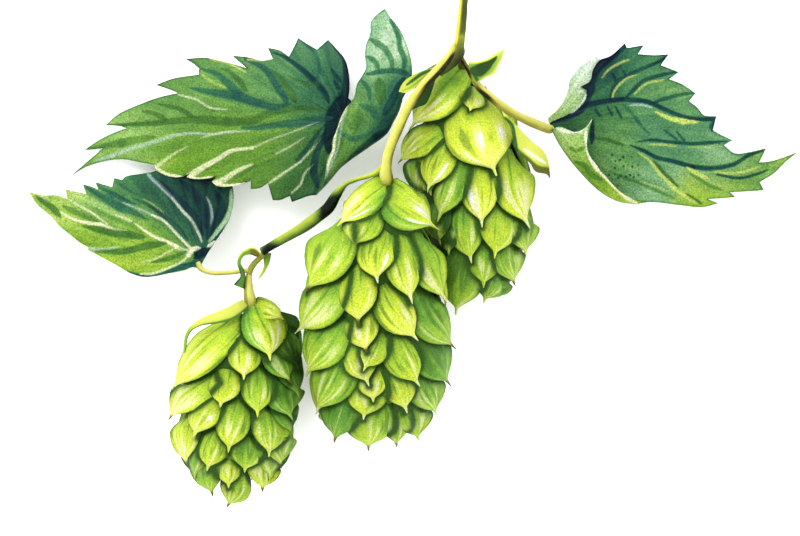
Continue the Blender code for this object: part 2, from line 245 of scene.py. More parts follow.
def surfaced(tree, shader, colour, fine, depth, height, roughness):
    """Feeds a colour, dappled by the fine grain, to the shader, with bump and gloss."""
    level = plus(tree, times(tree, fine, depth * TISSUE_LEVEL), TISSUE_LEVEL)
    dapple = tree.nodes.new("ShaderNodeCombineColor")
    for socket in dapple.inputs:
        tree.links.new(level, socket)
    colour = blended(tree, 1.0, colour, dapple.outputs["Color"], "MULTIPLY")
    tree.links.new(colour, shader.inputs["Base Color"])
    bump = tree.nodes.new("ShaderNodeBump")
    bump.inputs["Strength"].default_value = 0.35
    bump.inputs["Distance"].default_value = 0.0003
    tree.links.new(height, bump.inputs["Height"])
    tree.links.new(bump.outputs["Normal"], shader.inputs["Normal"])
    gloss = plus(tree, times(tree, fine, GLOSS_SPREAD), roughness)
    tree.links.new(gloss, shader.inputs["Roughness"])


def stalk_finish(name, stops):
    """A young stem's skin: a ramp of colours driven by the piece's shade field."""
    finish, tree, shader = plant_finish(name, roughness=0.45)
    fine, patches = grained(tree, fine_scale=2400.0, patch_scale=420.0)
    driver = plus(tree, field_of(tree, "shade"), times(tree, patches, 0.3))
    colour = ramp_of(tree, driver, stops)
    surfaced(tree, shader, colour, fine, depth=0.35, height=fine, roughness=0.45)
    return finish


def between(value, start, end):
    """0 at the start, 1 at the end, and straight between them."""
    return np.clip((value - start) / (end - start), 0.0, 1.0)


def near(points, x, y, reach):
    """1 at a place in plan, falling softly to 0 past its reach."""
    away = np.hypot(points[:, 0] - x, points[:, 1] - y)
    return np.exp(-(away / reach) ** 2)


def stalk(name, knots, shade, finish, slot, *nodes):
    """A stalk through its knots, shaded by where each corner lies on it."""
    corners, faces, side, along = stalk_mesh(knots)
    fields = {"shade": np.clip(shade(corners, side, along), 0.0, 1.0)}
    grown(name, corners, faces, fields, finish, slot, *nodes)


def bine_shade(p, side, along):
    """Painted light down its left side above the node, painted shade to its right, and a darker brown at
    the node that is partly its own colour and partly painted shade.
    """
    y = p[:, 1]
    # lit is painted light, dark is painted shade, and node is partly the node's own brown and partly
    # painted shade.
    lit = (side > 0.35) * between(y, 38.8, 40.3)
    dark = (side < 0.2) * between(y, 42.2, 43.0)
    node = near(p, 9.6, 37.9, 2.0) * (side < 0.6)
    return 0.42 - 0.42 * lit + 0.3 * dark + 0.5 * node + 0.35 * between(y, 38.0, 36.5)


stem_skin = stalk_finish("stem_skin", [
    (0.0, tint(240, 232, 90)), (0.25, tint(186, 188, 60)), (0.5, tint(122, 130, 44)),
    (0.75, tint(78, 88, 36)), (1.0, tint(52, 50, 24))])
stalk("bine", [
    (10.1, 51.9, 17.0, 0.9), (9.95, 49.0, 17.3, 0.92), (9.7, 45.5, 17.7, 0.95),
    (9.3, 42.0, 18.5, 1.0), (9.05, 40.3, 19.0, 1.15), (8.9, 38.9, 19.5, 1.3),
    (8.2, 37.5, 20.0, 1.2), (6.9, 36.0, 20.8, 0.8), (5.4, 34.3, 21.4, 0.2)],
      bine_shade, stem_skin, "stem", "bine_stem")

# ---------------------------------------------------------------- lateral, side shoot, pedicels
# The pale lateral arches from the node to the middle cone and flares where the cone
# begins; a thin shoot leaves it for the third node, where the left cone's stalk hangs.
LANE_REACH = 0.3


def near_lane(side, middle):
    """1 along one line down a stalk, falling softly to 0 either side of it."""
    return np.exp(-((side - middle) / LANE_REACH) ** 2)


def lateral_shade(p, side, along):
    """Painted light on its upper left, painted shade below where it leaves the node, and greener at its
    flare.
    """
    # dark is painted shade under the stem where it leaves the node.
    dark = (side < -0.2) * between(along, 0.4, 0.28) * between(p[:, 1], 39.3, 38.1)
    flare = between(along, 0.86, 0.96)
    return 0.24 - 0.2 * side + 0.3 * near_lane(side, -0.9) + 0.8 * dark + 0.18 * flare


def shoot_shade(p, side, along):
    """Painted light on its upper side, pale where it starts, a near-black painted shadow halfway, and dark
    again at the third node.
    """
    # black is a painted shadow.
    black = near(p, -16.6, 8.2, 2.3)
    node = near(p, -29.2, 0.0, 1.8)
    pale = near(p, -9.0, 14.4, 3.0)
    return 0.4 - 0.3 * side + 1.3 * black + 0.7 * node - 0.25 * pale


def left_pedicel_shade(p, side, along):
    """Green down from the node, then pale with a darker left edge."""
    return 0.16 + 0.34 * (side > 0.45) * (along > 0.4) + 0.36 * (along < 0.42)


pale_skin = stalk_finish("pale_stem_skin", [
    (0.0, tint(244, 242, 142)), (0.25, tint(216, 216, 92)), (0.5, tint(164, 168, 62)),
    (0.78, tint(116, 96, 34)), (1.0, tint(40, 44, 20))])
shoot_skin = stalk_finish("side_shoot_skin", [
    (0.0, tint(222, 230, 76)), (0.3, tint(164, 190, 62)), (0.55, tint(104, 136, 54)),
    (0.8, tint(44, 66, 26)), (1.0, tint(12, 20, 12))])
stalk("lateral", [
    (8.2, 40.6, 19.6, 0.45), (7.6, 38.9, 20.4, 0.75), (6.3, 37.1, 21.3, 0.9), (4.5, 35.0, 22.3, 0.95),
    (2.6, 33.0, 23.1, 0.95), (0.7, 30.6, 23.8, 0.95), (-0.9, 28.2, 24.5, 0.95), (-2.2, 25.6, 25.4, 0.95),
    (-3.4, 22.9, 26.3, 0.98), (-4.4, 20.5, 27.0, 1.0), (-5.1, 18.4, 27.6, 1.0),
    (-5.4, 16.4, 28.1, 1.05), (-5.5, 14.8, 28.3, 1.25), (-5.3, 13.4, 27.9, 1.25),
    (-5.2, 12.2, 26.6, 0.8)],
      lateral_shade, pale_skin, "pale_stem", "lateral_stem")
stalk("shoot", [
    (-5.9, 15.9, 27.6, 0.8), (-7.3, 14.9, 27.6, 0.62), (-9.0, 14.2, 27.3, 0.45),
    (-11.4, 13.5, 26.8, 0.4), (-13.6, 12.5, 26.2, 0.5), (-15.4, 10.4, 25.0, 0.95),
    (-17.0, 7.9, 23.6, 1.2), (-19.4, 5.9, 22.1, 1.12), (-21.7, 4.2, 20.5, 1.1),
    (-24.2, 2.7, 19.1, 1.0), (-26.7, 1.3, 18.0, 0.88), (-28.6, 0.2, 17.2, 0.85),
    (-30.2, -0.8, 16.6, 0.9)],
      shoot_shade, shoot_skin, "stem", "side_shoot")
stalk("left_pedicel", [
    (-29.9, -1.2, 16.4, 0.6), (-30.8, -2.2, 15.9, 0.58), (-31.9, -3.3, 15.6, 0.6),
    (-32.6, -4.5, 15.4, 0.6), (-32.9, -5.8, 15.3, 0.64), (-33.0, -7.4, 15.4, 0.86),
    (-32.9, -8.9, 15.5, 1.05), (-32.7, -10.2, 15.4, 1.2), (-32.6, -11.3, 14.9, 1.0),
    (-32.5, -12.1, 14.0, 0.6)],
      left_pedicel_shade, pale_skin, "pale_stem", "pedicel_left")
stalk("right_pedicel", [
    (9.0, 38.2, 18.8, 0.5), (9.2, 37.6, 16.8, 0.55), (9.7, 36.9, 15.0, 0.7), (9.8, 36.3, 13.8, 0.9)],
      lambda p, side, along: 0.62 + 0.1 * side, stem_skin, "pale_stem", "pedicel_right")

# ---------------------------------------------------------------- leaf stalks
# Slender olive-yellow petioles: one reaches right from the node, one runs under the
# upper-left leaf to its base, and the thinnest carries the lower-left leaf.
def right_petiole_shade(p, side, along):
    """Painted light along its upper side, painted shade below it and beside the node's scale, and darker
    at its root.
    """
    # shadow is painted shade from the node's scale.
    shadow = near(p, 14.2, 30.6, 2.5) * (side > -0.2)
    root = between(along, 0.24, 0.16)
    return 0.3 + 0.2 * (side > 0.1) + 0.6 * shadow - 0.2 * near_lane(side, -0.7) + 0.5 * root


petiole_skin = stalk_finish("petiole_skin", [
    (0.0, tint(240, 234, 128)), (0.3, tint(208, 204, 92)), (0.6, tint(156, 152, 58)),
    (0.82, tint(88, 80, 30)), (1.0, tint(34, 34, 16))])
stalk("right_petiole", [
    (9.4, 38.0, 18.9, 0.5), (10.9, 35.6, 17.6, 0.5), (11.8, 34.0, 18.1, 0.6),
    (13.2, 31.9, 20.3, 0.78), (15.4, 30.0, 20.5, 0.82), (17.4, 28.4, 20.0, 0.84),
    (19.9, 26.8, 18.4, 0.86), (22.3, 25.6, 16.6, 0.9), (24.6, 24.6, 14.5, 0.94),
    (26.7, 23.8, 12.4, 0.98), (27.6, 23.6, 11.6, 0.8)],
      right_petiole_shade, petiole_skin, "petiole", "petiole_right")
stalk("upper_petiole", [
    (8.6, 38.2, 18.9, 0.6), (6.9, 37.3, 18.0, 0.7), (2.4, 34.7, 16.4, 0.7), (-3.5, 31.4, 13.6, 0.7),
    (-9.0, 29.0, 12.6, 0.7), (-14.6, 26.6, 13.0, 0.7)],
      lambda p, side, along: 0.45 + 0.3 * side, petiole_skin, "petiole", "petiole_upper_left")
# The lower petiole is painted lighter on its upper side: painted light.
stalk("lower_petiole", [
    (-33.0, -4.6, 15.5, 0.45), (-34.2, -4.7, 15.4, 0.45), (-36.6, -5.0, 14.7, 0.42),
    (-39.6, -5.1, 13.4, 0.42), (-41.4, -4.8, 12.5, 0.44), (-42.6, -4.1, 11.9, 0.5),
    (-43.1, -3.0, 11.5, 0.5)],
      lambda p, side, along: 0.22 - 0.35 * side, petiole_skin, "petiole", "petiole_lower_left")

# ---------------------------------------------------------------- upper-left leaf
# A toothed, palmate leaf blade seen from above, dark and cool towards its base, with the
# near lobe turned over on a rounded fold so that its paler underside faces up.
LEAF_HALF_THICKNESS = 0.14
LEAF_STEP = 0.235
UNDERSIDE_SHARE = 0.45


def leaf_colour_group():
    """Leaf tissue: warm and cool greens by shade, pale veins, pale rims that are painted highlights, and a
    paler underside.
    """
    group = bpy.data.node_groups.new("leaf_colour", "ShaderNodeTree")
    ins = group.nodes.new("NodeGroupInput")
    outs = group.nodes.new("NodeGroupOutput")
    for name in ("Shade", "Cool", "Pale", "Lemon", "Dots", "Under"):
        group.interface.new_socket(name, in_out="INPUT", socket_type="NodeSocketFloat")
    group.interface.new_socket("Color", in_out="OUTPUT", socket_type="NodeSocketColor")
    warm = ramp_of(group, ins.outputs["Shade"], [
        (0.0, tint(230, 238, 124)), (0.2, tint(166, 198, 66)), (0.4, tint(112, 158, 40)),
        (0.6, tint(78, 124, 34)), (0.8, tint(40, 82, 30)), (1.0, tint(8, 32, 26))])
    cool = ramp_of(group, ins.outputs["Shade"], [
        (0.0, tint(230, 242, 226)), (0.2, tint(150, 194, 146)), (0.4, tint(92, 148, 100)),
        (0.6, tint(48, 110, 80)), (0.8, tint(12, 66, 66)), (1.0, tint(0, 16, 38))])
    colour = blended(group, ins.outputs["Cool"], warm, cool)
    vein = blended(group, ins.outputs["Cool"], tint(246, 244, 196), tint(196, 226, 232))
    colour = blended(group, ins.outputs["Pale"], colour, vein)
    colour = blended(group, ins.outputs["Lemon"], colour, tint(198, 216, 104))
    colour = blended(group, ins.outputs["Dots"], colour, tint(20, 66, 50))
    under = times(group, ins.outputs["Under"], UNDERSIDE_SHARE)
    colour = blended(group, under, colour, tint(176, 204, 164))
    group.links.new(colour, outs.inputs["Color"])
    return group


leaf_colour = leaf_colour_group()


def leaf_finish(name):
    """One leaf's finish: leaf_colour fed by the blade's fields, with a matt fine grain."""
    finish, tree, shader = plant_finish(name, roughness=0.55)
    fine, patches = grained(tree, fine_scale=3100.0, patch_scale=330.0)
    rays = tree.nodes.new("ShaderNodeCombineXYZ")
    tree.links.new(times(tree, field_of(tree, "ray"), 11.0), rays.inputs["X"])
    tree.links.new(times(tree, field_of(tree, "out"), 0.09), rays.inputs["Y"])
    fibres = tree.nodes.new("ShaderNodeTexNoise")
    fibres.inputs["Scale"].default_value = 1.0
    fibres.inputs["Detail"].default_value = 3.0
    tree.links.new(rays.outputs["Vector"], fibres.inputs["Vector"])
    fibre = less(tree, fibres.outputs["Fac"], 0.5)
    shade = plus(tree, field_of(tree, "shade"), times(tree, patches, 0.14), times(tree, fibre, 0.42))
    tissue = tree.nodes.new("ShaderNodeGroup")
    tissue.node_tree = leaf_colour
    tree.links.new(shade, tissue.inputs["Shade"])
    pits = tree.nodes.new("ShaderNodeTexVoronoi")
    pits.inputs["Scale"].default_value = 900.0
    place = tree.nodes.new("ShaderNodeTexCoord")
    tree.links.new(place.outputs["Object"], pits.inputs["Vector"])
    pit = less(tree, 1.0, rising(tree, pits.outputs["Distance"], 0.22, 0.32))
    tree.links.new(times(tree, pit, field_of(tree, "dotted")), tissue.inputs["Dots"])
    for field in ("cool", "pale", "lemon", "under"):
        tree.links.new(field_of(tree, field), tissue.inputs[field.title()])
    surfaced(tree, shader, tissue.outputs["Color"], fine, depth=2.3, height=fine, roughness=0.58)
    return finish


def curve_through(points, step, closed=False, corner=48.0):
    """Points along an outline, smooth between its points and sharp at its teeth."""
    p = np.asarray(points, dtype=float)
    count = len(p)
    ahead = np.roll(p, -1, axis=0) - p
    behind = p - np.roll(p, 1, axis=0)
    if not closed:
        ahead[-1], behind[0] = behind[-1], ahead[0]
    length = np.linalg.norm(ahead, axis=1)
    ahead /= np.maximum(length, 1e-9)[:, None]
    behind /= np.maximum(np.linalg.norm(behind, axis=1), 1e-9)[:, None]
    smooth = ahead + behind
    smooth /= np.maximum(np.linalg.norm(smooth, axis=1), 1e-9)[:, None]
    sharp = np.einsum("ij,ij->i", ahead, behind) < math.cos(math.radians(corner))
    points_out = []
    for i in range(count if closed else count - 1):
        j = (i + 1) % count
        leave = ahead[i] if sharp[i] else smooth[i]
        arrive = behind[j] if sharp[j] else smooth[j]
        pieces = max(1, round(length[i] / step))
        for k in range(pieces):
            t = k / pieces
            points_out.append((2 * t ** 3 - 3 * t * t + 1) * p[i]
                              + (t ** 3 - 2 * t * t + t) * leave * length[i]
                              + (3 * t * t - 2 * t ** 3) * p[j]
                              + (t ** 3 - t * t) * arrive * length[i])
    if not closed:
        points_out.append(p[-1])
    return np.array(points_out)


def within(points, outline):
    """Whether each point lies inside a closed outline."""
    ax, ay = outline.T
    bx, by = np.roll(outline, -1, axis=0).T
    rise = np.where(by == ay, 1e-12, by - ay)
    inside = []
    for part in np.array_split(points, max(1, len(points) // 2000)):
        x, y = part[:, :1], part[:, 1:]
        crosses = ((ay > y) != (by > y)) & (x < ax + (y - ay) * (bx - ax) / rise)
        inside.append(np.count_nonzero(crosses, axis=1) % 2 == 1)
    return np.concatenate(inside)


def away_from(points, line):
    """Distance to an open line, and how far along it, 0 to 1, the nearest place lies."""
    line = np.asarray(line, dtype=float)
    best = np.full(len(points), 1e9)
    where = np.zeros(len(points))
    lengths = np.linalg.norm(np.diff(line, axis=0), axis=1)
    start = np.concatenate([[0.0], np.cumsum(lengths)])
    for i, (a, b) in enumerate(zip(line, line[1:])):
        run = b - a
        t = np.clip(((points - a) @ run) / max(run @ run, 1e-12), 0.0, 1.0)
        gap = np.linalg.norm(points - (a + t[:, None] * run), axis=1)
        closer = gap < best
        best[closer] = gap[closer]
        where[closer] = (start[i] + t[closer] * lengths[i]) / start[-1]
    return best, where


def finder_of(places):
    """A finder of the nearest of some places in plan."""
    finder = KDTree(len(places))
    for i, (x, y) in enumerate(places):
        finder.insert((x, y, 0.0), i)
    finder.balance()
    return finder


def filled(outline, step, row_spacing=0.866, clearance=0.62):
    """Triangles filling a fine outline: its own points first, then a scatter inside."""
    low, high = outline.min(axis=0), outline.max(axis=0)
    scatter = []
    for row, y in enumerate(np.arange(low[1], high[1], row_spacing * step)):
        xs = np.arange(low[0] + 0.5 * step * (row % 2), high[0], step)
        scatter.append(np.stack([xs, np.full(len(xs), y)], axis=1))
    scatter = np.concatenate(scatter)
    scatter = scatter[within(scatter, outline)]
    margin = finder_of(outline)
    clear = [margin.find((x, y, 0.0))[2] > clearance * step for x, y in scatter]
    flat = np.vstack([outline, scatter[np.array(clear)]])
    count = len(outline)
    edges = [(i, (i + 1) % count) for i in range(count)]
    corners, _, triangles, _, _, _ = delaunay_2d_cdt([Vector(p) for p in flat], edges, [], 1, 1e-6)
    return np.array([tuple(c) for c in corners]), [tuple(t) for t in triangles]


def shell_of(surface, triangles, half):
    """Both skins and the rim of a thin sheet; the upper skin's corners come first."""
    t = np.array(triangles)
    facing = np.cross(surface[t[:, 1]] - surface[t[:, 0]], surface[t[:, 2]] - surface[t[:, 0]])
    normal = np.zeros_like(surface)
    for k in range(3):
        np.add.at(normal, t[:, k], facing)
    normal /= np.maximum(np.linalg.norm(normal, axis=1), 1e-12)[:, None]
    count = len(surface)
    corners = np.vstack([surface + normal * half, surface - normal * half])
    faces = [tuple(f) for f in t.tolist()]
    faces += [(a + count, c + count, b + count) for a, b, c in t.tolist()]
    sides = dict.fromkeys(edge for a, b, c in t.tolist() for edge in ((a, b), (b, c), (c, a)))
    for a, b in sides:
        if (b, a) not in sides:
            faces.append((b, a, a + count, b + count))
    return corners, faces


# What each kind of stroke does to the tissue's fields; azure is blue without a groove.
# Navy and dark strokes lay dark veins and also painted shadow beside folds and overlapping edges; white,
# cream and rim strokes lay pale veins and also painted highlights along edges and rims.
STROKES = {
    "olive": {"shade": 0.73, "cool": 0.15}, "blue": {"shade": 0.72, "cool": 1.0},
    "navy": {"shade": 0.95, "cool": 0.9}, "cream": {"pale": 1.0, "cool": 0.0},
    "ice": {"pale": 0.75, "cool": 1.0}, "white": {"pale": 1.0, "cool": 0.35, "shade": 0.0},
    "lemon": {"lemon": 1.0}, "rim": {"pale": 0.3, "shade": 0.2, "cool": 0.6},
    "azure": {"shade": 0.72, "cool": 1.0}, "brown": {"brown": 1.0}, "dark": {"shade": 0.84},
    "dotted": {"dotted": 1.0}, "light": {"shade": 0.06}}
# How far a vein of each kind sinks into the blade, or stands up from it.
GROOVED = {"olive": -0.16, "blue": -0.16, "navy": -0.2, "cream": 0.1, "ice": 0.08, "lemon": 0.08}
VEIN_TAPER = 0.22
VEIN_MEETING = 0.7


def step_up(value, start, end):
    """0 below the start, 1 past the end, and smooth between them."""
    share = between(value, start, end)
    return share * share * (3.0 - 2.0 * share)


def tissue_fields(flat, washes, veins, reach, origin=(0.0, 0.0)):
    """A blade's fields of tone, strokes and fibre direction, and the relief of its veins.

    Washes are (x, y, shade, cool) places that the tissue's tone passes through; cool can be
    left out. Veins are (kind, strength, width, end width, points) lines laid over it in turn.
    A vein's end tapers unless another vein meets it there."""
    fields = {field: np.zeros(len(flat)) for field in ("cool", "pale", "lemon", "brown", "dotted")}
    spoke = flat - np.array(origin)
    ahead = spoke.mean(axis=0)
    fields["ray"] = np.arctan2(ahead[0] * spoke[:, 1] - ahead[1] * spoke[:, 0], spoke @ ahead)
    fields["out"] = np.linalg.norm(spoke, axis=1)
    fields["under"] = np.ones(len(flat))
    weights = [np.exp(-((flat[:, 0] - x) ** 2 + (flat[:, 1] - y) ** 2) / reach ** 2) + 1e-9
               for x, y, *_ in washes]
    for k, field in enumerate(("shade", "cool")[:len(washes[0]) - 2]):
        fields[field] = sum(w * wash[2 + k] for w, wash in zip(weights, washes)) / sum(weights)
    relief = np.zeros(len(flat))
    for kind, strength, width, end_width, line in veins:
        gap, along = away_from(flat, smooth_path(line, 6))
        half = width + (end_width - width) * along
        others = [other for *_, other in veins if other is not line]
        ends = [p for other in others for p in (other[0], other[-1])]
        for end, part in ((line[0], along), (line[-1], 1.0 - along)):
            if all(math.dist(end, p) > VEIN_MEETING for p in ends):
                half = half * (0.3 + 0.7 * np.clip(part / VEIN_TAPER, 0.0, 1.0) ** 0.6)
        soft = np.maximum(0.6 * half, 0.2)
        cover = step_up(half + 0.6 * soft - gap, 0.0, soft) * strength
        for field, target in STROKES[kind].items():
            fields[field] += cover * (target - fields[field])
        if "pale" not in STROKES[kind]:
            fields["pale"] *= 1.0 - cover
        relief += cover * GROOVED.get(kind, 0.0)
    return fields, relief


def leaf_sheets(*sheets):
    """Joins sheets of (surface, triangles, fields) as shells in one mesh."""
    corners, faces, fields = [], [], {}
    start = 0
    for surface, triangles, painted in sheets:
        sheet_corners, sheet_faces = shell_of(surface, triangles, LEAF_HALF_THICKNESS)
        corners.append(sheet_corners)
        faces += [tuple(start + i for i in face) for face in sheet_faces]
        start += len(sheet_corners)
        for field, values in painted.items():
            skins = [np.zeros(len(values)), values] if field == "under" else [values, values]
            fields.setdefault(field, []).append(np.concatenate(skins))
    return np.vstack(corners), faces, {k: np.concatenate(v) for k, v in fields.items()}


MARGIN_SHADE = 0.24
MARGIN_REACH = 0.26
SAME_PLACE = 1e-4


def folded_sheet(fold, blade, flap, low, high, bend, blade_tissue, flap_tissue):
    """A blade and its turned-over lobe as one sheet joined on the rounded fold line."""
    crease = curve_through(fold, LEAF_STEP)
    parts = []
    for rest, surface, tissue, order in ((blade, low, blade_tissue, 1), (flap, high, flap_tissue, -1)):
        margin = curve_through([fold[-1]] + rest + [fold[0]], LEAF_STEP)
        flat, triangles = filled(np.vstack([crease, margin[1:-1]]), LEAF_STEP)
        gap, _ = away_from(flat, crease)
        close = np.clip(gap / bend, 0.0, 1.0)
        middle = 0.5 * (low(flat) + high(flat))
        rise = np.sqrt(1.0 - (1.0 - close) ** 2)
        fields, relief = tissue_fields(flat, *tissue)
        edge, _ = away_from(flat, margin)
        fields["shade"] += MARGIN_SHADE * np.exp(-(edge / MARGIN_REACH) ** 2)
        if order < 0:
            fields["under"][:] = 0.0
        z = middle + rise * (surface(flat) + relief * order * close - middle)
        parts.append((np.column_stack([flat, z]), [t[::order] for t in triangles], fields))
    (lower, lower_triangles, fields), (upper, upper_triangles, upper_fields) = parts
    shared = finder_of(crease)
    seam = {}
    for i, place in enumerate(lower):
        _, k, gap = shared.find((place[0], place[1], 0.0))
        if gap < SAME_PLACE:
            seam[k] = i
    number, kept = [], []
    for i, place in enumerate(upper):
        _, k, gap = shared.find((place[0], place[1], 0.0))
        if gap < SAME_PLACE:
            number.append(seam[k])
        else:
            number.append(len(lower) + len(kept))
            kept.append(i)
    surface = np.vstack([lower, upper[kept]])
    triangles = lower_triangles + [tuple(number[i] for i in t) for t in upper_triangles]
    joined = {k: np.concatenate([fields[k], upper_fields[k][kept]]) for k in fields}
    return surface, triangles, joined


def upper_low(flat):
    """The blade's height: highest over its base and bending down all round."""
    r = np.hypot(flat[:, 0] + 15.5, flat[:, 1] - 26.3)
    top = np.maximum(0.0, flat[:, 1] - 31.0)
    return np.maximum(0.3, 14.6 - 0.0062 * r * r + 0.02 * r - 0.085 * top * top)


def upper_high(flat):
    """The turned-over lobe's height, close above the blade."""
    return 18.4 + 0.02 * (flat[:, 1] - 26.0)


# Outlines run round the blade from tooth to tooth; a fold and the margins on either side
# of it close one another.
UPPER_FOLD = [
    (-19.5, 10.5), (-16.7, 13.5), (-14.7, 15.9), (-12.7, 17.5), (-8.7, 20.3), (-5.3, 22.9),
    (-4.2, 24.9), (-3.1, 27.0), (-2.3, 29.5)]
UPPER_BLADE = [
    (-5.7, 30.3), (-9.7, 29.1), (-12.0, 28.8), (-13.0, 29.9), (-12.8, 31.5), (-12.9, 34.5),
    (-13.7, 37.5), (-15.1, 39.3), (-17.1, 41.5), (-19.3, 39.5), (-21.3, 40.7), (-23.1, 41.9),
    (-23.7, 40.5), (-24.9, 38.1), (-26.7, 39.3), (-29.1, 39.9), (-28.1, 37.7), (-30.3, 37.3),
    (-32.7, 37.9), (-36.1, 38.3), (-34.7, 37.1), (-33.1, 35.7), (-35.7, 36.5), (-38.7, 37.3),
    (-41.7, 37.9), (-45.5, 37.7), (-44.1, 36.9), (-42.9, 35.9), (-42.9, 34.5), (-44.7, 34.3),
    (-48.3, 33.7), (-51.5, 32.5), (-49.1, 31.7), (-47.1, 30.9), (-50.7, 30.1), (-54.7, 28.7),
    (-59.1, 26.7), (-61.7, 24.5), (-58.7, 24.3), (-57.3, 23.9), (-59.7, 23.1), (-62.7, 21.7),
    (-66.1, 19.5), (-62.1, 19.9), (-65.1, 17.5), (-69.1, 14.0), (-65.7, 16.1), (-62.7, 17.1),
    (-58.3, 17.7), (-54.7, 17.1), (-51.7, 16.5), (-51.7, 15.5), (-49.7, 14.5), (-47.7, 14.1),
    (-45.9, 14.3), (-44.7, 14.9), (-45.3, 14.1), (-44.7, 13.9), (-42.7, 13.7), (-39.5, 14.1),
    (-40.3, 13.1), (-39.1, 12.3), (-36.3, 12.3), (-33.7, 12.9), (-32.5, 13.3), (-32.5, 11.7),
    (-30.7, 11.9), (-29.1, 12.9), (-28.1, 9.5), (-26.7, 9.5), (-24.7, 10.3), (-24.3, 9.1),
    (-22.7, 9.7), (-21.0, 10.3)]
UPPER_FLAP = [
    (-0.5, 33.0), (-0.3, 35.9), (-0.7, 38.5), (-1.7, 41.5), (-2.7, 43.5), (-4.7, 46.1),
    (-5.7, 47.7), (-7.1, 46.7), (-8.5, 45.1), (-8.7, 42.5), (-9.5, 40.5), (-9.7, 38.1),
    (-9.5, 35.9), (-10.5, 33.9), (-11.3, 32.5), (-11.9, 29.9), (-13.7, 27.5), (-14.5, 25.9),
    (-15.3, 23.5), (-16.3, 20.9), (-16.3, 19.3), (-17.3, 18.1), (-17.5, 15.9), (-17.7, 13.5),
    (-18.7, 11.5)]
# The darkest washes, beside the turned-over lobe's edge, are painted shadow of the lobe on the blade.
UPPER_WASHES = [
    (-60.0, 24.8, 0.24, 0.45), (-64.0, 18.5, 0.34, 0.3), (-55.0, 21.0, 0.3, 0.4),
    (-46.0, 28.0, 0.36, 0.45), (-50.0, 31.5, 0.5, 0.4), (-36.0, 34.5, 0.46, 0.45),
    (-29.5, 35.0, 0.46, 0.7), (-20.0, 37.5, 0.52, 0.85), (-14.7, 34.0, 0.74, 0.8),
    (-17.0, 28.5, 0.66, 0.8), (-41.0, 21.5, 0.5, 0.1), (-32.5, 20.5, 0.47, 0.15),
    (-23.5, 20.5, 0.45, 0.2), (-47.5, 17.0, 0.45, 0.0), (-34.5, 15.0, 0.46, 0.1),
    (-26.5, 12.5, 0.58, 0.2), (-19.5, 17.5, 0.76, 0.6), (-21.0, 12.0, 0.68, 0.4)]
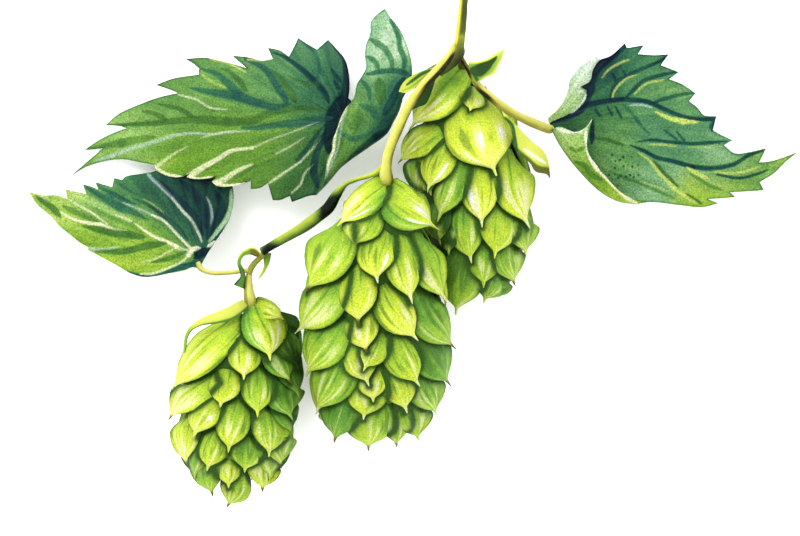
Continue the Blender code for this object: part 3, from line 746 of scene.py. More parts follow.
UPPER_VEINS = [
    ("olive", 0.75, 0.4, 0.9, [(-15.8, 27.3), (-22.6, 27.8), (-28.9, 26.7), (-32.3, 25.3),
        (-37.1, 25.1)]),
    ("olive", 0.75, 0.9, 0.3, [(-37.1, 25.1), (-42.5, 25.5), (-47.1, 25.4), (-52.5, 24.8),
        (-61.1, 24.5)]),
    ("blue", 0.8, 0.5, 1.0, [(-24.4, 28.7), (-27.6, 28), (-31.2, 28.9), (-35.3, 30.3)]),
    ("blue", 0.75, 1.0, 0.3, [(-35.3, 30.3), (-40.3, 31), (-44.8, 31.9)]),
    ("blue", 0.7, 0.9, 0.35, [(-34.8, 30.7), (-37.1, 32.8), (-39.4, 34.6), (-42.5, 35.7)]),
    ("olive", 0.7, 0.7, 0.3, [(-33.3, 31.2), (-34.8, 33.2), (-36.6, 35), (-38.5, 35.7)]),
    ("blue", 0.85, 0.9, 0.4, [(-25.1, 28.7), (-26.2, 30.7), (-27.6, 32.8), (-29.4, 35.3),
        (-31.2, 36.6), (-33.5, 37.7)]),
    ("olive", 0.7, 0.9, 0.3, [(-23.5, 28.9), (-24.9, 31.6), (-26.7, 33.9), (-28.7, 35.5)]),
    ("navy", 0.8, 0.7, 0.35, [(-16.9, 28.9), (-17.6, 30.7), (-19.4, 32.8), (-21.7, 35),
        (-24, 36.8), (-26.2, 38.2), (-28, 38.9)]),
    ("blue", 0.75, 0.4, 0.25, [(-19.4, 32.8), (-18.8, 35.7), (-19.4, 38.4), (-21, 40), (-22.2, 40.9)]),
    ("olive", 0.6, 0.5, 0.2, [(-19.2, 32.5), (-21.7, 32.8), (-24, 33.7), (-25.1, 34.3)]),
    ("navy", 0.6, 0.5, 0.3, [(-14.7, 31.5), (-16, 33.4)]),
    ("navy", 0.6, 0.5, 0.3, [(-14.5, 33), (-16.5, 35.7)]),
    # Painted shade: the two wide navy strokes below run down the blade's right margin, where it rolls
    # under, and along the lobe's free edge, where the lobe shades the blade.
    ("navy", 0.9, 0.5, 1.5, [(-16.3, 40.7), (-13.8, 38), (-13, 34.3), (-13.1, 30.7), (-14.4, 28.5)]),
    ("navy", 0.95, 1.5, 1.2, [(-14.4, 28.5), (-15.8, 26.7), (-16.3, 24.4), (-16.7, 21.2), (-16.9, 19)]),
    ("blue", 0.75, 0.9, 0.5, [(-16.3, 26), (-20.8, 25.1), (-26.2, 24.6), (-31.2, 23.9), (-34.4, 23.9)]),
    ("olive", 0.5, 0.5, 0.8, [(-51.6, 22.1), (-54.8, 21.7), (-58.4, 21)]),
    ("olive", 0.5, 0.8, 0.2, [(-58.4, 21), (-62, 20.3), (-65.2, 19.9)]),
    ("olive", 0.7, 0.6, 0.3, [(-43.9, 26), (-47.1, 27.8), (-51.1, 28.7)]),
    ("olive", 0.65, 0.6, 0.3, [(-49.3, 25.5), (-51.6, 26.7), (-54.3, 27.3)]),
    ("cream", 0.49, 0.11, 0.22, [(-37.3, 27.6), (-40.7, 28), (-43.4, 29.6), (-47.1, 30.6)]),
    ("ice", 0.57, 0.11, 0.22, [(-32.6, 23.3), (-37.1, 23), (-40.3, 22.6), (-44.3, 22.9), (-48, 22.4)]),
    ("ice", 0.45, 0.29, 0.36, [(-48, 22.4), (-51.6, 21.2), (-56.1, 19.9), (-60.6, 18.3),
        (-63.7, 17.4)]),
    ("cream", 0.45, 0.07, 0.36, [(-45, 20.3), (-48, 18.7), (-50.7, 16.7), (-51.8, 16.2)]),
    ("cream", 0.41, 0.14, 0.14, [(-42.5, 21.9), (-38.5, 23), (-35.3, 23.3)]),
    ("cream", 0.37, 0.11, 0.14, [(-19, 25.1), (-24.4, 23), (-28.9, 21.4), (-32.1, 19.9)]),
    ("cream", 0.66, 0.22, 0.58, [(-32.1, 19.9), (-36.2, 19.4), (-38.9, 17.8), (-42.5, 15.8),
        (-44.8, 14.2)]),
    ("cream", 0.49, 0.07, 0.18, [(-21.7, 22.1), (-24.4, 20.3), (-27.6, 18.7)]),
    ("cream", 0.66, 0.22, 0.58, [(-32.1, 16.7), (-35.3, 15.3), (-38, 13.5), (-39.8, 12.8)]),
    ("olive", 0.4, 0.3, 0.5, [(-28.3, 17.5), (-32.3, 15.9), (-35.7, 13.9)]),
    ("cream", 0.45, 0.07, 0.14, [(-18.5, 21.7), (-20.8, 19), (-22.6, 17.1)]),
    ("cream", 0.61, 0.14, 0.25, [(-22.6, 17.1), (-26.2, 14.7), (-28.9, 12.8)]),
    ("cream", 0.53, 0.07, 0.22, [(-19.9, 16.7), (-21.7, 14.9), (-22.6, 12.6), (-24.4, 10.8)]),
    # Painted shadow: navy beside the lobe's edge lower down.
    ("navy", 0.6, 0.6, 0.8, [(-17.3, 23.5), (-19.1, 19.5), (-19.9, 15.5), (-19.1, 11.9)]),
    ("navy", 0.5, 0.4, 0.5, [(-18.3, 23.9), (-20.7, 20.5), (-23.1, 17.5)]),
    # Painted highlights: cream rims along the edges of the lower teeth.
    ("cream", 0.85, 0.23, 0.27, [(-51.8, 16.2), (-49.3, 14.7), (-45.7, 14)]),
    ("cream", 0.85, 0.27, 0.23, [(-44.8, 14), (-42.5, 13.7), (-40.3, 14.2)]),
    ("cream", 0.85, 0.27, 0.23, [(-40, 12.8), (-37.1, 12.4), (-33.5, 12.8)]),
    ("lemon", 0.66, 0.22, 0.22, [(-40.7, 37.6), (-37.1, 36.8), (-33.5, 35)]),
    ("lemon", 0.57, 0.22, 0.22, [(-33.1, 37.5), (-30.3, 37.4), (-28.1, 37.7)]),
    ("lemon", 0.41, 0.29, 0.22, [(-42.5, 34.7), (-40.3, 33.1), (-37.5, 31.9)])]
# The dark washes on the fold side are painted shade where the lobe turns over.
FLAP_WASHES = [
    (-5.7, 43.5, 0.16, 1.0), (-3.0, 38.5, 0.12, 0.9), (-7.7, 37.5, 0.16, 1.0),
    (-6.0, 31.0, 0.46, 0.8), (-12.2, 26.5, 0.36, 0.4), (-14.7, 20.5, 0.45, 0.3),
    (-16.9, 15.0, 0.36, 0.5), (-1.8, 32.0, 0.72, 1.0), (-5.0, 25.0, 0.78, 0.9),
    (-9.5, 21.5, 0.62, 0.5)]
FLAP_VEINS = [
    ("blue", 0.7, 0.4, 0.5, [(-4.7, 45.5), (-3.1, 42.5), (-2.7, 39.8), (-1.8, 37.5), (-2.2, 35)]),
    ("blue", 0.55, 0.6, 0.5, [(-8.6, 41.6), (-5.9, 39.8), (-4.5, 37.5), (-4.3, 35.5)]),
    ("blue", 0.6, 0.4, 0.5, [(-9.3, 38.2), (-7.7, 37.1), (-7, 35.5)]),
    ("blue", 0.8, 0.4, 0.5, [(-9.3, 34.6), (-7.2, 35), (-4.5, 35.3), (-2.2, 35), (-0.4, 34.1)]),
    ("blue", 0.6, 0.35, 0.45, [(-10.4, 33.4), (-9, 31.6), (-8.8, 29.4)]),
    ("blue", 0.6, 0.5, 0.6, [(-10.8, 28.5), (-8.6, 27.6), (-7.4, 25.7)]),
    ("navy", 0.6, 0.7, 0.8, [(-1.9, 33.9), (-4.3, 29.5), (-5.9, 26.5)]),
    ("blue", 0.6, 0.4, 0.5, [(-15.4, 23.5), (-12.2, 21.7), (-9.5, 22.6), (-7.7, 23.9)]),
    ("olive", 0.6, 1.2, 0.8, [(-6.9, 33.5), (-6.5, 30.5), (-6.7, 28.7)]),
    ("olive", 0.5, 1.2, 0.8, [(-11.1, 27.1), (-11.5, 25.1), (-12.7, 23.9)]),
    ("olive", 0.5, 0.8, 0.6, [(-14.1, 21.9), (-15.1, 19.9), (-15.9, 17.5)]),
    # Painted shade: the two navy strokes below follow the rounded fold.
    ("navy", 0.6, 0.5, 0.9, [(0.1, 33.5), (-1.9, 27.5), (-4.5, 23.5), (-7.3, 22.1)]),
    ("navy", 0.5, 0.8, 0.3, [(-7.3, 22.1), (-11.7, 18.5), (-15.3, 14.5), (-17.7, 11.5)]),
    # Painted highlights: cream and ice along the lobe's free edge.
    ("cream", 0.85, 0.2, 0.31, [(-12.9, 28.9), (-14.5, 25.7), (-15.6, 22.6), (-16, 19.4),
        (-16.9, 17.1), (-17.4, 14.4)]),
    ("ice", 0.49, 0.14, 0.22, [(-13.2, 27.5), (-14.2, 25), (-14.8, 21.6), (-15.4, 19),
        (-16.5, 16.5), (-18.3, 12.9), (-19.4, 10.8)])]
grown("upper_left_leaf", *leaf_sheets(folded_sheet(
    UPPER_FOLD, UPPER_BLADE, UPPER_FLAP, upper_low, upper_high, 2.2,
    (UPPER_WASHES, UPPER_VEINS, 6.0, (-13.5, 25.0)), (FLAP_WASHES, FLAP_VEINS, 4.0, (-17.5, 9.0)))),
      leaf_finish("upper_left_leaf_tissue"), "leaf", "leaf_upper_left")

# ---------------------------------------------------------------- lower-left leaf
# A smaller leaf hanging below, its upper half painted dark for the shade of the leaf above and its
# lower half painted light; the lower margin and the base are painted the blue-green of its underside.
LOWER_OUTLINE = [
    (-43.1, -4.1), (-42.5, -3.5), (-41.5, -1.7), (-40.1, 0.5), (-38.3, 3.1), (-36.9, 5.5),
    (-36.1, 8.5), (-36.1, 11.5), (-36.7, 13.5), (-39.7, 15.1), (-44.7, 16.3), (-49.7, 15.9),
    (-52.3, 15.1), (-54.7, 14.7), (-57.7, 14.1), (-58.3, 13.5), (-59.9, 13.9), (-60.3, 12.1),
    (-61.7, 12.5), (-63.7, 13.1), (-63.1, 11.5), (-64.3, 12.1), (-66.3, 12.7), (-65.5, 10.7),
    (-69.7, 11.7), (-69.3, 9.7), (-71.7, 10.5), (-74.3, 10.5), (-77.1, 11.2), (-75.7, 8.9),
    (-73.7, 7.1), (-72.1, 5.7), (-71.1, 4.5), (-68.7, 2.5), (-66.3, 0.7), (-65.1, 0.1),
    (-65.1, -0.5), (-61.7, -2.3), (-59.1, -3.7), (-56.7, -5.1), (-53.7, -5.9), (-51.7, -5.7),
    (-48.7, -5.1), (-45.7, -4.5), (-44.1, -3.9)]
# The dark washes over the upper right are painted shadow of the upper leaf.
LOWER_WASHES = [
    (-70.7, 8.5, 0.2, 0.2), (-64.7, 2.5, 0.36, 0.0), (-58.7, -2.0, 0.3, 0.0),
    (-50.7, 0.5, 0.3, 0.0), (-56.5, 5.5, 0.36, 0.1), (-44.0, 11.5, 0.92, 0.7),
    (-39.5, 9.5, 0.84, 0.6), (-50.5, 11.5, 0.76, 0.7), (-47.0, 6.0, 0.74, 0.8),
    (-57.5, 10.5, 0.6, 0.8), (-63.0, 9.5, 0.4, 0.5), (-42.5, 2.0, 0.84, 0.9),
    (-47.0, -2.5, 0.3, 0.1), (-52.0, -3.8, 0.26, 0.0)]
LOWER_VEINS = [
    ("light", 0.45, 0.8, 0.5, [(-69, 11.2), (-65.5, 9.9), (-61.1, 7.5), (-57, 5.5)]),
    ("blue", 0.7, 0.3, 0.9, [(-66.1, 12.4), (-63.5, 10.9), (-61.1, 9.4), (-58.7, 8.1)]),
    ("blue", 0.7, 0.9, 0.15, [(-58.7, 8.1), (-55.9, 6.9), (-52.9, 5.4)]),
    ("light", 0.5, 0.15, 0.25, [(-62.9, 11.6), (-61.1, 10.7), (-59.5, 9.7)]),
    ("blue", 0.65, 0.3, 0.7, [(-63.4, 12.8), (-61.9, 11.5), (-60.1, 10.5)]),
    ("blue", 0.65, 0.7, 0.15, [(-60.1, 10.5), (-57.9, 9.5), (-55.7, 8.5)]),
    ("ice", 0.61, 0.43, 0.29, [(-53.2, 14.7), (-50.8, 12.5), (-48.2, 9.9)]),
    ("cream", 0.61, 0.22, 0.25, [(-48.2, 9.9), (-46.1, 7.2), (-44.4, 5.5), (-43.2, 3.4), (-42.3, 1.1)]),
    ("ice", 0.49, 0.14, 0.18, [(-58.2, 9), (-55.2, 7.8), (-52.3, 6.5)]),
    ("cream", 0.7, 0.18, 0.22, [(-52.3, 6.5), (-49.9, 5.3), (-47.9, 3.3), (-46.1, 1.4), (-44.7, 0)]),
    ("cream", 0.85, 0.12, 0.31, [(-55.8, 4.9), (-53.8, 3.4), (-51.7, 2.1), (-49.4, 1.2), (-47.3, 0.2)]),
    ("cream", 0.49, 0.14, 0.22, [(-59.9, 6.6), (-57.6, 5.8), (-56.4, 5.3)]),
    ("cream", 0.61, 0.18, 0.14, [(-69, 9.6), (-67, 8.4), (-64.6, 7.1), (-62.9, 5.9), (-61.1, 4.6)]),
    ("cream", 0.85, 0.16, 0.27, [(-70.8, 7.2), (-68.4, 5.8), (-65.5, 5), (-62.3, 4.6)]),
    ("cream", 0.66, 0.25, 0.11, [(-62.3, 4.6), (-59.9, 3.7), (-57.3, 3.4)]),
    ("cream", 0.57, 0.14, 0.14, [(-74.7, 10.5), (-73.4, 9.1)]),
    ("ice", 0.61, 0.36, 0.11, [(-65.1, -0.1), (-62.3, -0.4), (-58.8, 0.2)]),
    ("cream", 0.57, 0.11, 0.11, [(-54.3, -2.9), (-51.4, -2.2), (-49.4, -1.1), (-47.6, -0.1)]),
    ("cream", 0.49, 0.36, 0.11, [(-47.5, 0.1), (-45.5, -0.5), (-44.3, 0)]),
    ("ice", 0.53, 0.11, 0.25, [(-41.4, 10.2), (-40.6, 8.4), (-40.3, 6.1), (-40.6, 4.3)]),
    ("lemon", 0.41, 0.11, 0.11, [(-54.1, 9.7), (-52.3, 8.7), (-49.9, 6.9)]),
    ("olive", 0.75, 0.5, 0.9, [(-66.1, 4.3), (-61.1, 3.1), (-57.6, 2.7), (-53.8, 2.1)]),
    ("olive", 0.75, 0.5, 0.8, [(-63.7, -0.7), (-58.2, -0.8), (-53.8, 0.2), (-49.4, 0.9)]),
    ("olive", 0.65, 0.4, 0.5, [(-52.3, -3), (-47.9, -1.9), (-45.5, -0.7)]),
    ("olive", 0.7, 0.5, 0.7, [(-75.5, 10.2), (-72.2, 7.8), (-70.7, 6.1)]),
    ("olive", 0.4, 0.5, 0.5, [(-70.3, 8.3), (-66.7, 6.7), (-63.1, 5.1)]),
    # The navy strokes below are veins deepened into painted shadow cast by the upper leaf.
    ("navy", 0.75, 0.4, 0.9, [(-52.3, 14.3), (-49.5, 11.9), (-46.7, 9.3), (-43.7, 6.1), (-42.1, 2.5)]),
    ("navy", 0.75, 0.5, 1.2, [(-46.7, 13.5), (-43.9, 11.1), (-42.1, 8.1), (-41.3, 3.9)]),
    ("navy", 0.75, 0.5, 1.2, [(-39.7, 11.5), (-38.3, 8.5), (-39.3, 5.1), (-41.1, 1.9)]),
    ("navy", 0.5, 0.3, 0.7, [(-56.3, 9.9), (-52.7, 8.3), (-48.7, 5.3), (-45.1, 1.5)]),
    ("blue", 0.5, 0.3, 0.4, [(-61.9, 11.5), (-58.7, 9.9), (-54.7, 8.5)]),
    ("blue", 0.5, 0.3, 0.4, [(-59.1, 12.7), (-55.9, 10.9), (-52.3, 9.1)]),
    # Painted highlights: the rim and cream strokes below light the blade's right edge and its base.
    ("rim", 0.85, 0.45, 0.4, [(-36.5, 11.6), (-36.5, 8.5), (-37.3, 5.9), (-39.1, 3.4), (-40.9, 1.1)]),
    ("cream", 0.85, 0.39, 0.39, [(-45, -1.6), (-44.1, -0.4), (-42.6, -0.1)]),
    ("cream", 0.85, 0.27, 0.23, [(-41.1, 0.2), (-39.7, 1.2)]),
    ("navy", 1, 1.0, 0.9, [(-43.7, -2.1), (-42.5, -1.2), (-41.1, -0.6)]),
    ("azure", 1, 0.65, 0.6, [(-42.5, -2.7), (-44.5, -3.4), (-46.3, -3.9)]),
    ("azure", 1, 0.6, 0.25, [(-46.3, -3.9), (-48.7, -4.8), (-51.3, -5.6), (-54.3, -5.7),
        (-57.1, -4.8)]),
    # Painted highlight along the lower margin's rim.
    ("cream", 0.75, 0.12, 0.2, [(-45.1, -1.8), (-46.6, -3), (-49.3, -4.2), (-52.1, -5.2),
        (-54.7, -5.3)])]


def lower_height(flat):
    """The blade's height: it droops from its stalk to the table."""
    r = np.hypot(flat[:, 0] + 41.5, flat[:, 1])
    return np.maximum(0.3, 11.3 - 0.16 * r - 0.0062 * r * r)


def plain_sheet(outline, height, tissue, step=LEAF_STEP):
    """One unfolded sheet of leaf over its height, with its veins in relief."""
    flat, triangles = filled(curve_through(outline, step, closed=True), step)
    fields, relief = tissue_fields(flat, *tissue)
    return np.column_stack([flat, height(flat) + relief]), triangles, fields


grown("lower_left_leaf", *leaf_sheets(plain_sheet(
    LOWER_OUTLINE, lower_height, (LOWER_WASHES, LOWER_VEINS, 4.5, (-42.0, -3.0)))),
      leaf_finish("lower_left_leaf_tissue"), "leaf", "leaf_lower_left")

# ---------------------------------------------------------------- right leaf
# The third leaf is cupped at its base: its lower edge folds up over the blade, its rim painted cream
# as a highlight, and one pale lobe lies behind the upper margin, which is painted dark for shade.
RIGHT_FOLD = [
    (27.6, 23.6), (29.3, 20.5), (31.7, 17.1), (34.3, 14.1), (37.3, 11.3), (40.9, 9.3),
    (44.7, 8.7)]
RIGHT_BLADE = [
    (47.3, 9.1), (53.3, 8.5), (57.9, 8.1), (61.1, 8.9), (58.9, 9.7), (61.7, 9.9), (64.5, 10.1),
    (63.3, 11.1), (67.3, 11.3), (70.3, 11.5), (69.3, 13.1), (72.3, 14.9), (74.3, 16.9),
    (77.1, 19.2), (72.3, 17.5), (69.1, 16.9), (70.7, 19.9), (67.3, 19.1), (64.3, 18.9),
    (62.1, 20.5), (63.9, 21.5), (61.3, 22.7), (59.9, 23.5), (60.7, 26.3), (58.1, 26.5),
    (56.9, 27.9), (55.1, 29.3), (56.5, 30.9), (53.7, 32.7), (51.1, 33.7), (53.1, 35.1),
    (49.5, 36.5), (51.1, 38.7), (48.3, 38.5), (44.9, 38.7), (46.1, 40.5), (42.7, 39.9),
    (42.3, 40.9), (39.3, 38.3), (37.3, 37.5), (35.9, 35.5), (35.3, 33.3), (33.3, 32.1),
    (34.7, 31.5), (34.3, 30.5), (32.9, 28.1), (30.7, 26.5), (28.6, 25.6), (27.2, 24.8)]
RIGHT_FLAP = [
    (46.3, 9.2), (42.9, 10.1), (40.3, 12.1), (38.3, 14.4), (36.7, 16.4), (35.1, 18.5),
    (34.6, 20.5), (34.9, 22.9), (35.7, 25.7), (34.3, 23.9), (32.3, 23.1), (29.3, 24.1)]
RIGHT_LOBE = [
    (27.0, 24.8), (26.9, 25.9), (28.7, 27.5), (29.9, 29.1), (30.9, 31.5), (31.3, 33.5),
    (32.5, 35.3), (34.3, 36.9), (36.9, 38.3), (38.0, 36.5), (37.0, 33.0), (35.8, 30.0),
    (33.5, 27.0), (30.5, 25.3)]
RIGHT_WASHES = [
    (33.0, 26.8, 0.8, 0.5), (38.0, 31.0, 0.72, 0.8), (36.5, 26.0, 0.55, 0.5),
    (45.3, 31.5, 0.42, 0.7), (53.3, 29.8, 0.4, 0.7), (49.5, 24.0, 0.5, 0.95),
    (61.0, 17.5, 0.33, 0.9), (68.5, 14.0, 0.38, 0.6), (48.0, 13.0, 0.33, 0.9),
    (41.3, 17.5, 0.42, 0.6), (38.5, 21.5, 0.46, 0.6), (45.3, 37.0, 0.55, 0.9),
    (58.0, 23.5, 0.42, 0.95), (73.0, 17.5, 0.32, 0.2), (65.0, 11.0, 0.28, 0.0),
    (57.0, 9.2, 0.26, 0.0), (39.0, 36.0, 0.78, 0.9)]
RIGHT_VEINS = [
    ("navy", 0.85, 0.6, 0.5, [(27.4, 25.2), (30.8, 26.6), (34.6, 28.3), (38, 29.2), (41.8, 29.6)]),
    ("navy", 0.75, 0.5, 0.4, [(41.8, 29.6), (45.6, 29.4), (48, 28.7), (51.5, 27.1), (55.3, 25.9),
        (60.1, 25.6)]),
    ("navy", 0.6, 0.5, 0.35, [(39.6, 29.7), (40.5, 32.8), (43.2, 34.5), (46, 35.9), (48.7, 37),
        (50.8, 38.3)]),
    ("navy", 0.6, 0.5, 0.35, [(42.5, 30.1), (44.6, 32.1), (46.3, 33.5), (49.1, 34.4), (52.5, 35.1)]),
    ("navy", 0.6, 0.4, 0.35, [(47.7, 29), (50.8, 29.9), (53.5, 30.6), (56, 30.9)]),
    ("blue", 0.6, 0.4, 0.3, [(41.8, 28.7), (43.9, 26.6), (45.3, 24.6), (47.3, 22.5)]),
    ("navy", 0.65, 0.3, 0.4, [(44.6, 21.1), (47.7, 21.5), (51.5, 21.1), (56.3, 20.8), (62.8, 21.3)]),
    ("navy", 0.5, 0.2, 0.35, [(50, 23.6), (52.9, 21.5)]),
    ("navy", 0.5, 0.2, 0.35, [(52.5, 23.3), (54.3, 21.3)]),
    ("olive", 0.8, 0.35, 0.45, [(36.3, 21.8), (39.1, 21.5), (42.2, 20.4)]),
    ("navy", 0.8, 0.35, 0.5, [(43.2, 20.5), (46, 19.4), (48.7, 18), (51.8, 17.3), (56, 16.1)]),
    ("navy", 0.7, 0.5, 0.35, [(56, 16.1), (59.7, 15.9), (63.9, 16.6), (67, 18.4), (70.1, 19.4)]),
    ("olive", 0.8, 0.45, 0.35, [(48, 17.3), (50.1, 14.9), (52.9, 12.2)]),
    ("olive", 0.8, 0.3, 0.4, [(54.5, 10.8), (57.7, 8.7)]),
    ("olive", 0.5, 0.4, 0.3, [(55.3, 14.9), (59.1, 12.5), (61.8, 11.5)]),
    ("navy", 0.65, 0.3, 0.3, [(60.8, 14.7), (64.9, 13.9), (68.4, 14.6), (71.1, 15.6)]),
    ("olive", 0.5, 0.4, 0.3, [(39.1, 15.3), (41.5, 14.2), (44.6, 13.2), (47.7, 11.8), (52.2, 9.9)]),
    ("navy", 0.6, 0.25, 0.3, [(39.8, 34.9), (40.5, 33.2)]),
    ("navy", 0.5, 0.2, 0.25, [(41.7, 35.5), (42.5, 34.3)]),
    ("navy", 0.7, 0.2, 0.3, [(38.7, 28.3), (39.8, 26.3)]),
    ("navy", 0.7, 0.2, 0.3, [(40.3, 28.3), (41.7, 25.8)]),
    ("navy", 0.6, 0.3, 0.3, [(36.3, 27.7), (37.4, 26.1)]),
    ("lemon", 0.61, 0.14, 0.22, [(37.7, 33.9), (39.1, 35.6), (41.5, 37), (43.2, 37.6)]),
    ("lemon", 0.66, 0.18, 0.14, [(39.8, 30.2), (40.5, 31.8), (42.5, 33.7), (44.6, 34.5)]),
    ("lemon", 0.66, 0.14, 0.18, [(44.2, 30.6), (45.6, 32.1), (47.3, 33), (50.1, 33.5)]),
    ("ice", 0.66, 0.14, 0.18, [(43.2, 28.5), (45.6, 28.5), (47.7, 28)]),
    ("lemon", 0.95, 0.2, 0.5, [(48.3, 27.2), (51.1, 25.9), (53.9, 25.2)]),
    ("lemon", 0.9, 0.5, 0.15, [(53.9, 25.2), (57, 25.1)]),
    ("lemon", 0.66, 0.11, 0.14, [(46.7, 20.6), (49.4, 20.6), (52.5, 20.3)]),
    ("lemon", 0.41, 0.14, 0.14, [(54.9, 20.1), (58.3, 20.1), (61.7, 20.3)]),
    ("lemon", 0.7, 0.14, 0.4, [(44.9, 19), (47.3, 17.3), (49.4, 14.6), (52.2, 11.8)]),
    ("lemon", 0.7, 0.4, 0.22, [(52.2, 11.8), (55.3, 9.7), (57, 8.7)]),
    ("lemon", 0.9, 0.2, 0.4, [(54.6, 16.1), (56.3, 15.1), (59.1, 13.7)]),
    ("lemon", 0.66, 0.14, 0.25, [(60.4, 15.1), (63.2, 14.9), (66.6, 15.3), (69.4, 16.3)]),
    ("lemon", 0.49, 0.11, 0.14, [(45.3, 13.2), (47.7, 12.5), (50.8, 11.3)]),
    # Painted shade: heavy navy along the upper-left margin, where it rolls over the lobe.
    ("navy", 0.97, 0.6, 1.0, [(27.5, 25.2), (30.5, 26.1), (33.2, 27.6), (34.6, 30.1), (35.3, 31.8)]),
    ("navy", 0.9, 0.9, 0.7, [(35.3, 31.8), (35.7, 33.5), (37.1, 36.1), (39.5, 38.1), (42.2, 40.6)]),
    ("navy", 1, 0.4, 0.5, [(33.2, 32.3), (34.9, 32.8)]),
    ("azure", 0.9, 0.5, 0.3, [(41.1, 39.5), (42.3, 40.7)]),
    ("azure", 0.9, 0.9, 0.4, [(59.7, 23.5), (60.5, 25.7)]),
    # Painted shadow: navy beside the folded edge; painted highlight: white on the blade's rim.
    ("navy", 0.9, 0.35, 0.6, [(35.8, 25.6), (35.7, 23.2), (35.6, 20.8)]),
    ("white", 1, 0.3, 0.45, [(33.2, 31.8), (34, 31.1), (33.9, 29.7), (31.5, 27)]),
    ("dotted", 0.85, 3.4, 3.4, [(39.9, 18.1), (41.3, 15.9), (43.7, 12.7)])]
RIGHT_FLAP_WASHES = [
    (30.5, 23.5, 0.18, 0.5), (33.0, 21.0, 0.2, 0.4), (31.8, 18.5, 0.26, 0.2),
    (34.0, 15.5, 0.44, 0.0), (37.0, 12.5, 0.42, 0.0), (41.5, 9.8, 0.22, 0.0)]
RIGHT_FLAP_VEINS = [
    # Painted highlights: white and cream along the folded edge's rim.
    ("white", 1, 0.3, 0.3, [(28.1, 24.2), (30.5, 23.2), (32.2, 23.2), (33.6, 23.5), (35.6, 25.6)]),
    ("white", 1, 0.35, 0.35, [(34.4, 23.5), (34.6, 20.8), (35.3, 18), (36.7, 15.6)]),
    ("cream", 0.85, 0.27, 0.31, [(36.7, 15.6), (38.4, 13.9), (40.5, 11.8), (42.5, 10.1), (44.9, 8.9)]),
    ("olive", 0.5, 0.3, 0.4, [(31.2, 20.1), (32.5, 19.4), (34.3, 20.1)]),
    ("olive", 0.6, 0.4, 0.5, [(32.2, 17.3), (34.3, 16.3), (35.6, 14.6), (37.7, 13.5)])]
LOBE_WASHES = [(28.2, 26.0, 0.22, 0.4), (31.3, 30.0, 0.16, 0.7), (34.0, 35.0, 0.06, 1.0)]


def right_low(flat):
    """The blade's height: it droops from its base to the table."""
    r = np.hypot(flat[:, 0] - 27.0, flat[:, 1] - 24.5)
    return np.maximum(0.3, 10.6 - 0.07 * r - 0.0036 * r * r)


def right_high(flat):
    """The folded edge's height, which closes on the blade away from the base."""
    return right_low(flat) + 4.4 - 0.07 * np.hypot(flat[:, 0] - 27.0, flat[:, 1] - 24.5)


grown("right_leaf", *leaf_sheets(
    folded_sheet(RIGHT_FOLD, RIGHT_BLADE, RIGHT_FLAP, right_low, right_high, 2.0,
                 (RIGHT_WASHES, RIGHT_VEINS, 4.5, (27.0, 24.5)),
                 (RIGHT_FLAP_WASHES, RIGHT_FLAP_VEINS, 3.0, (28.0, 24.5))),
    plain_sheet(RIGHT_LOBE, lambda flat: right_low(flat) - 0.9, (LOBE_WASHES, [], 4.0, (28.0, 24.5)))),
      leaf_finish("right_leaf_tissue"), "leaf", "leaf_right")

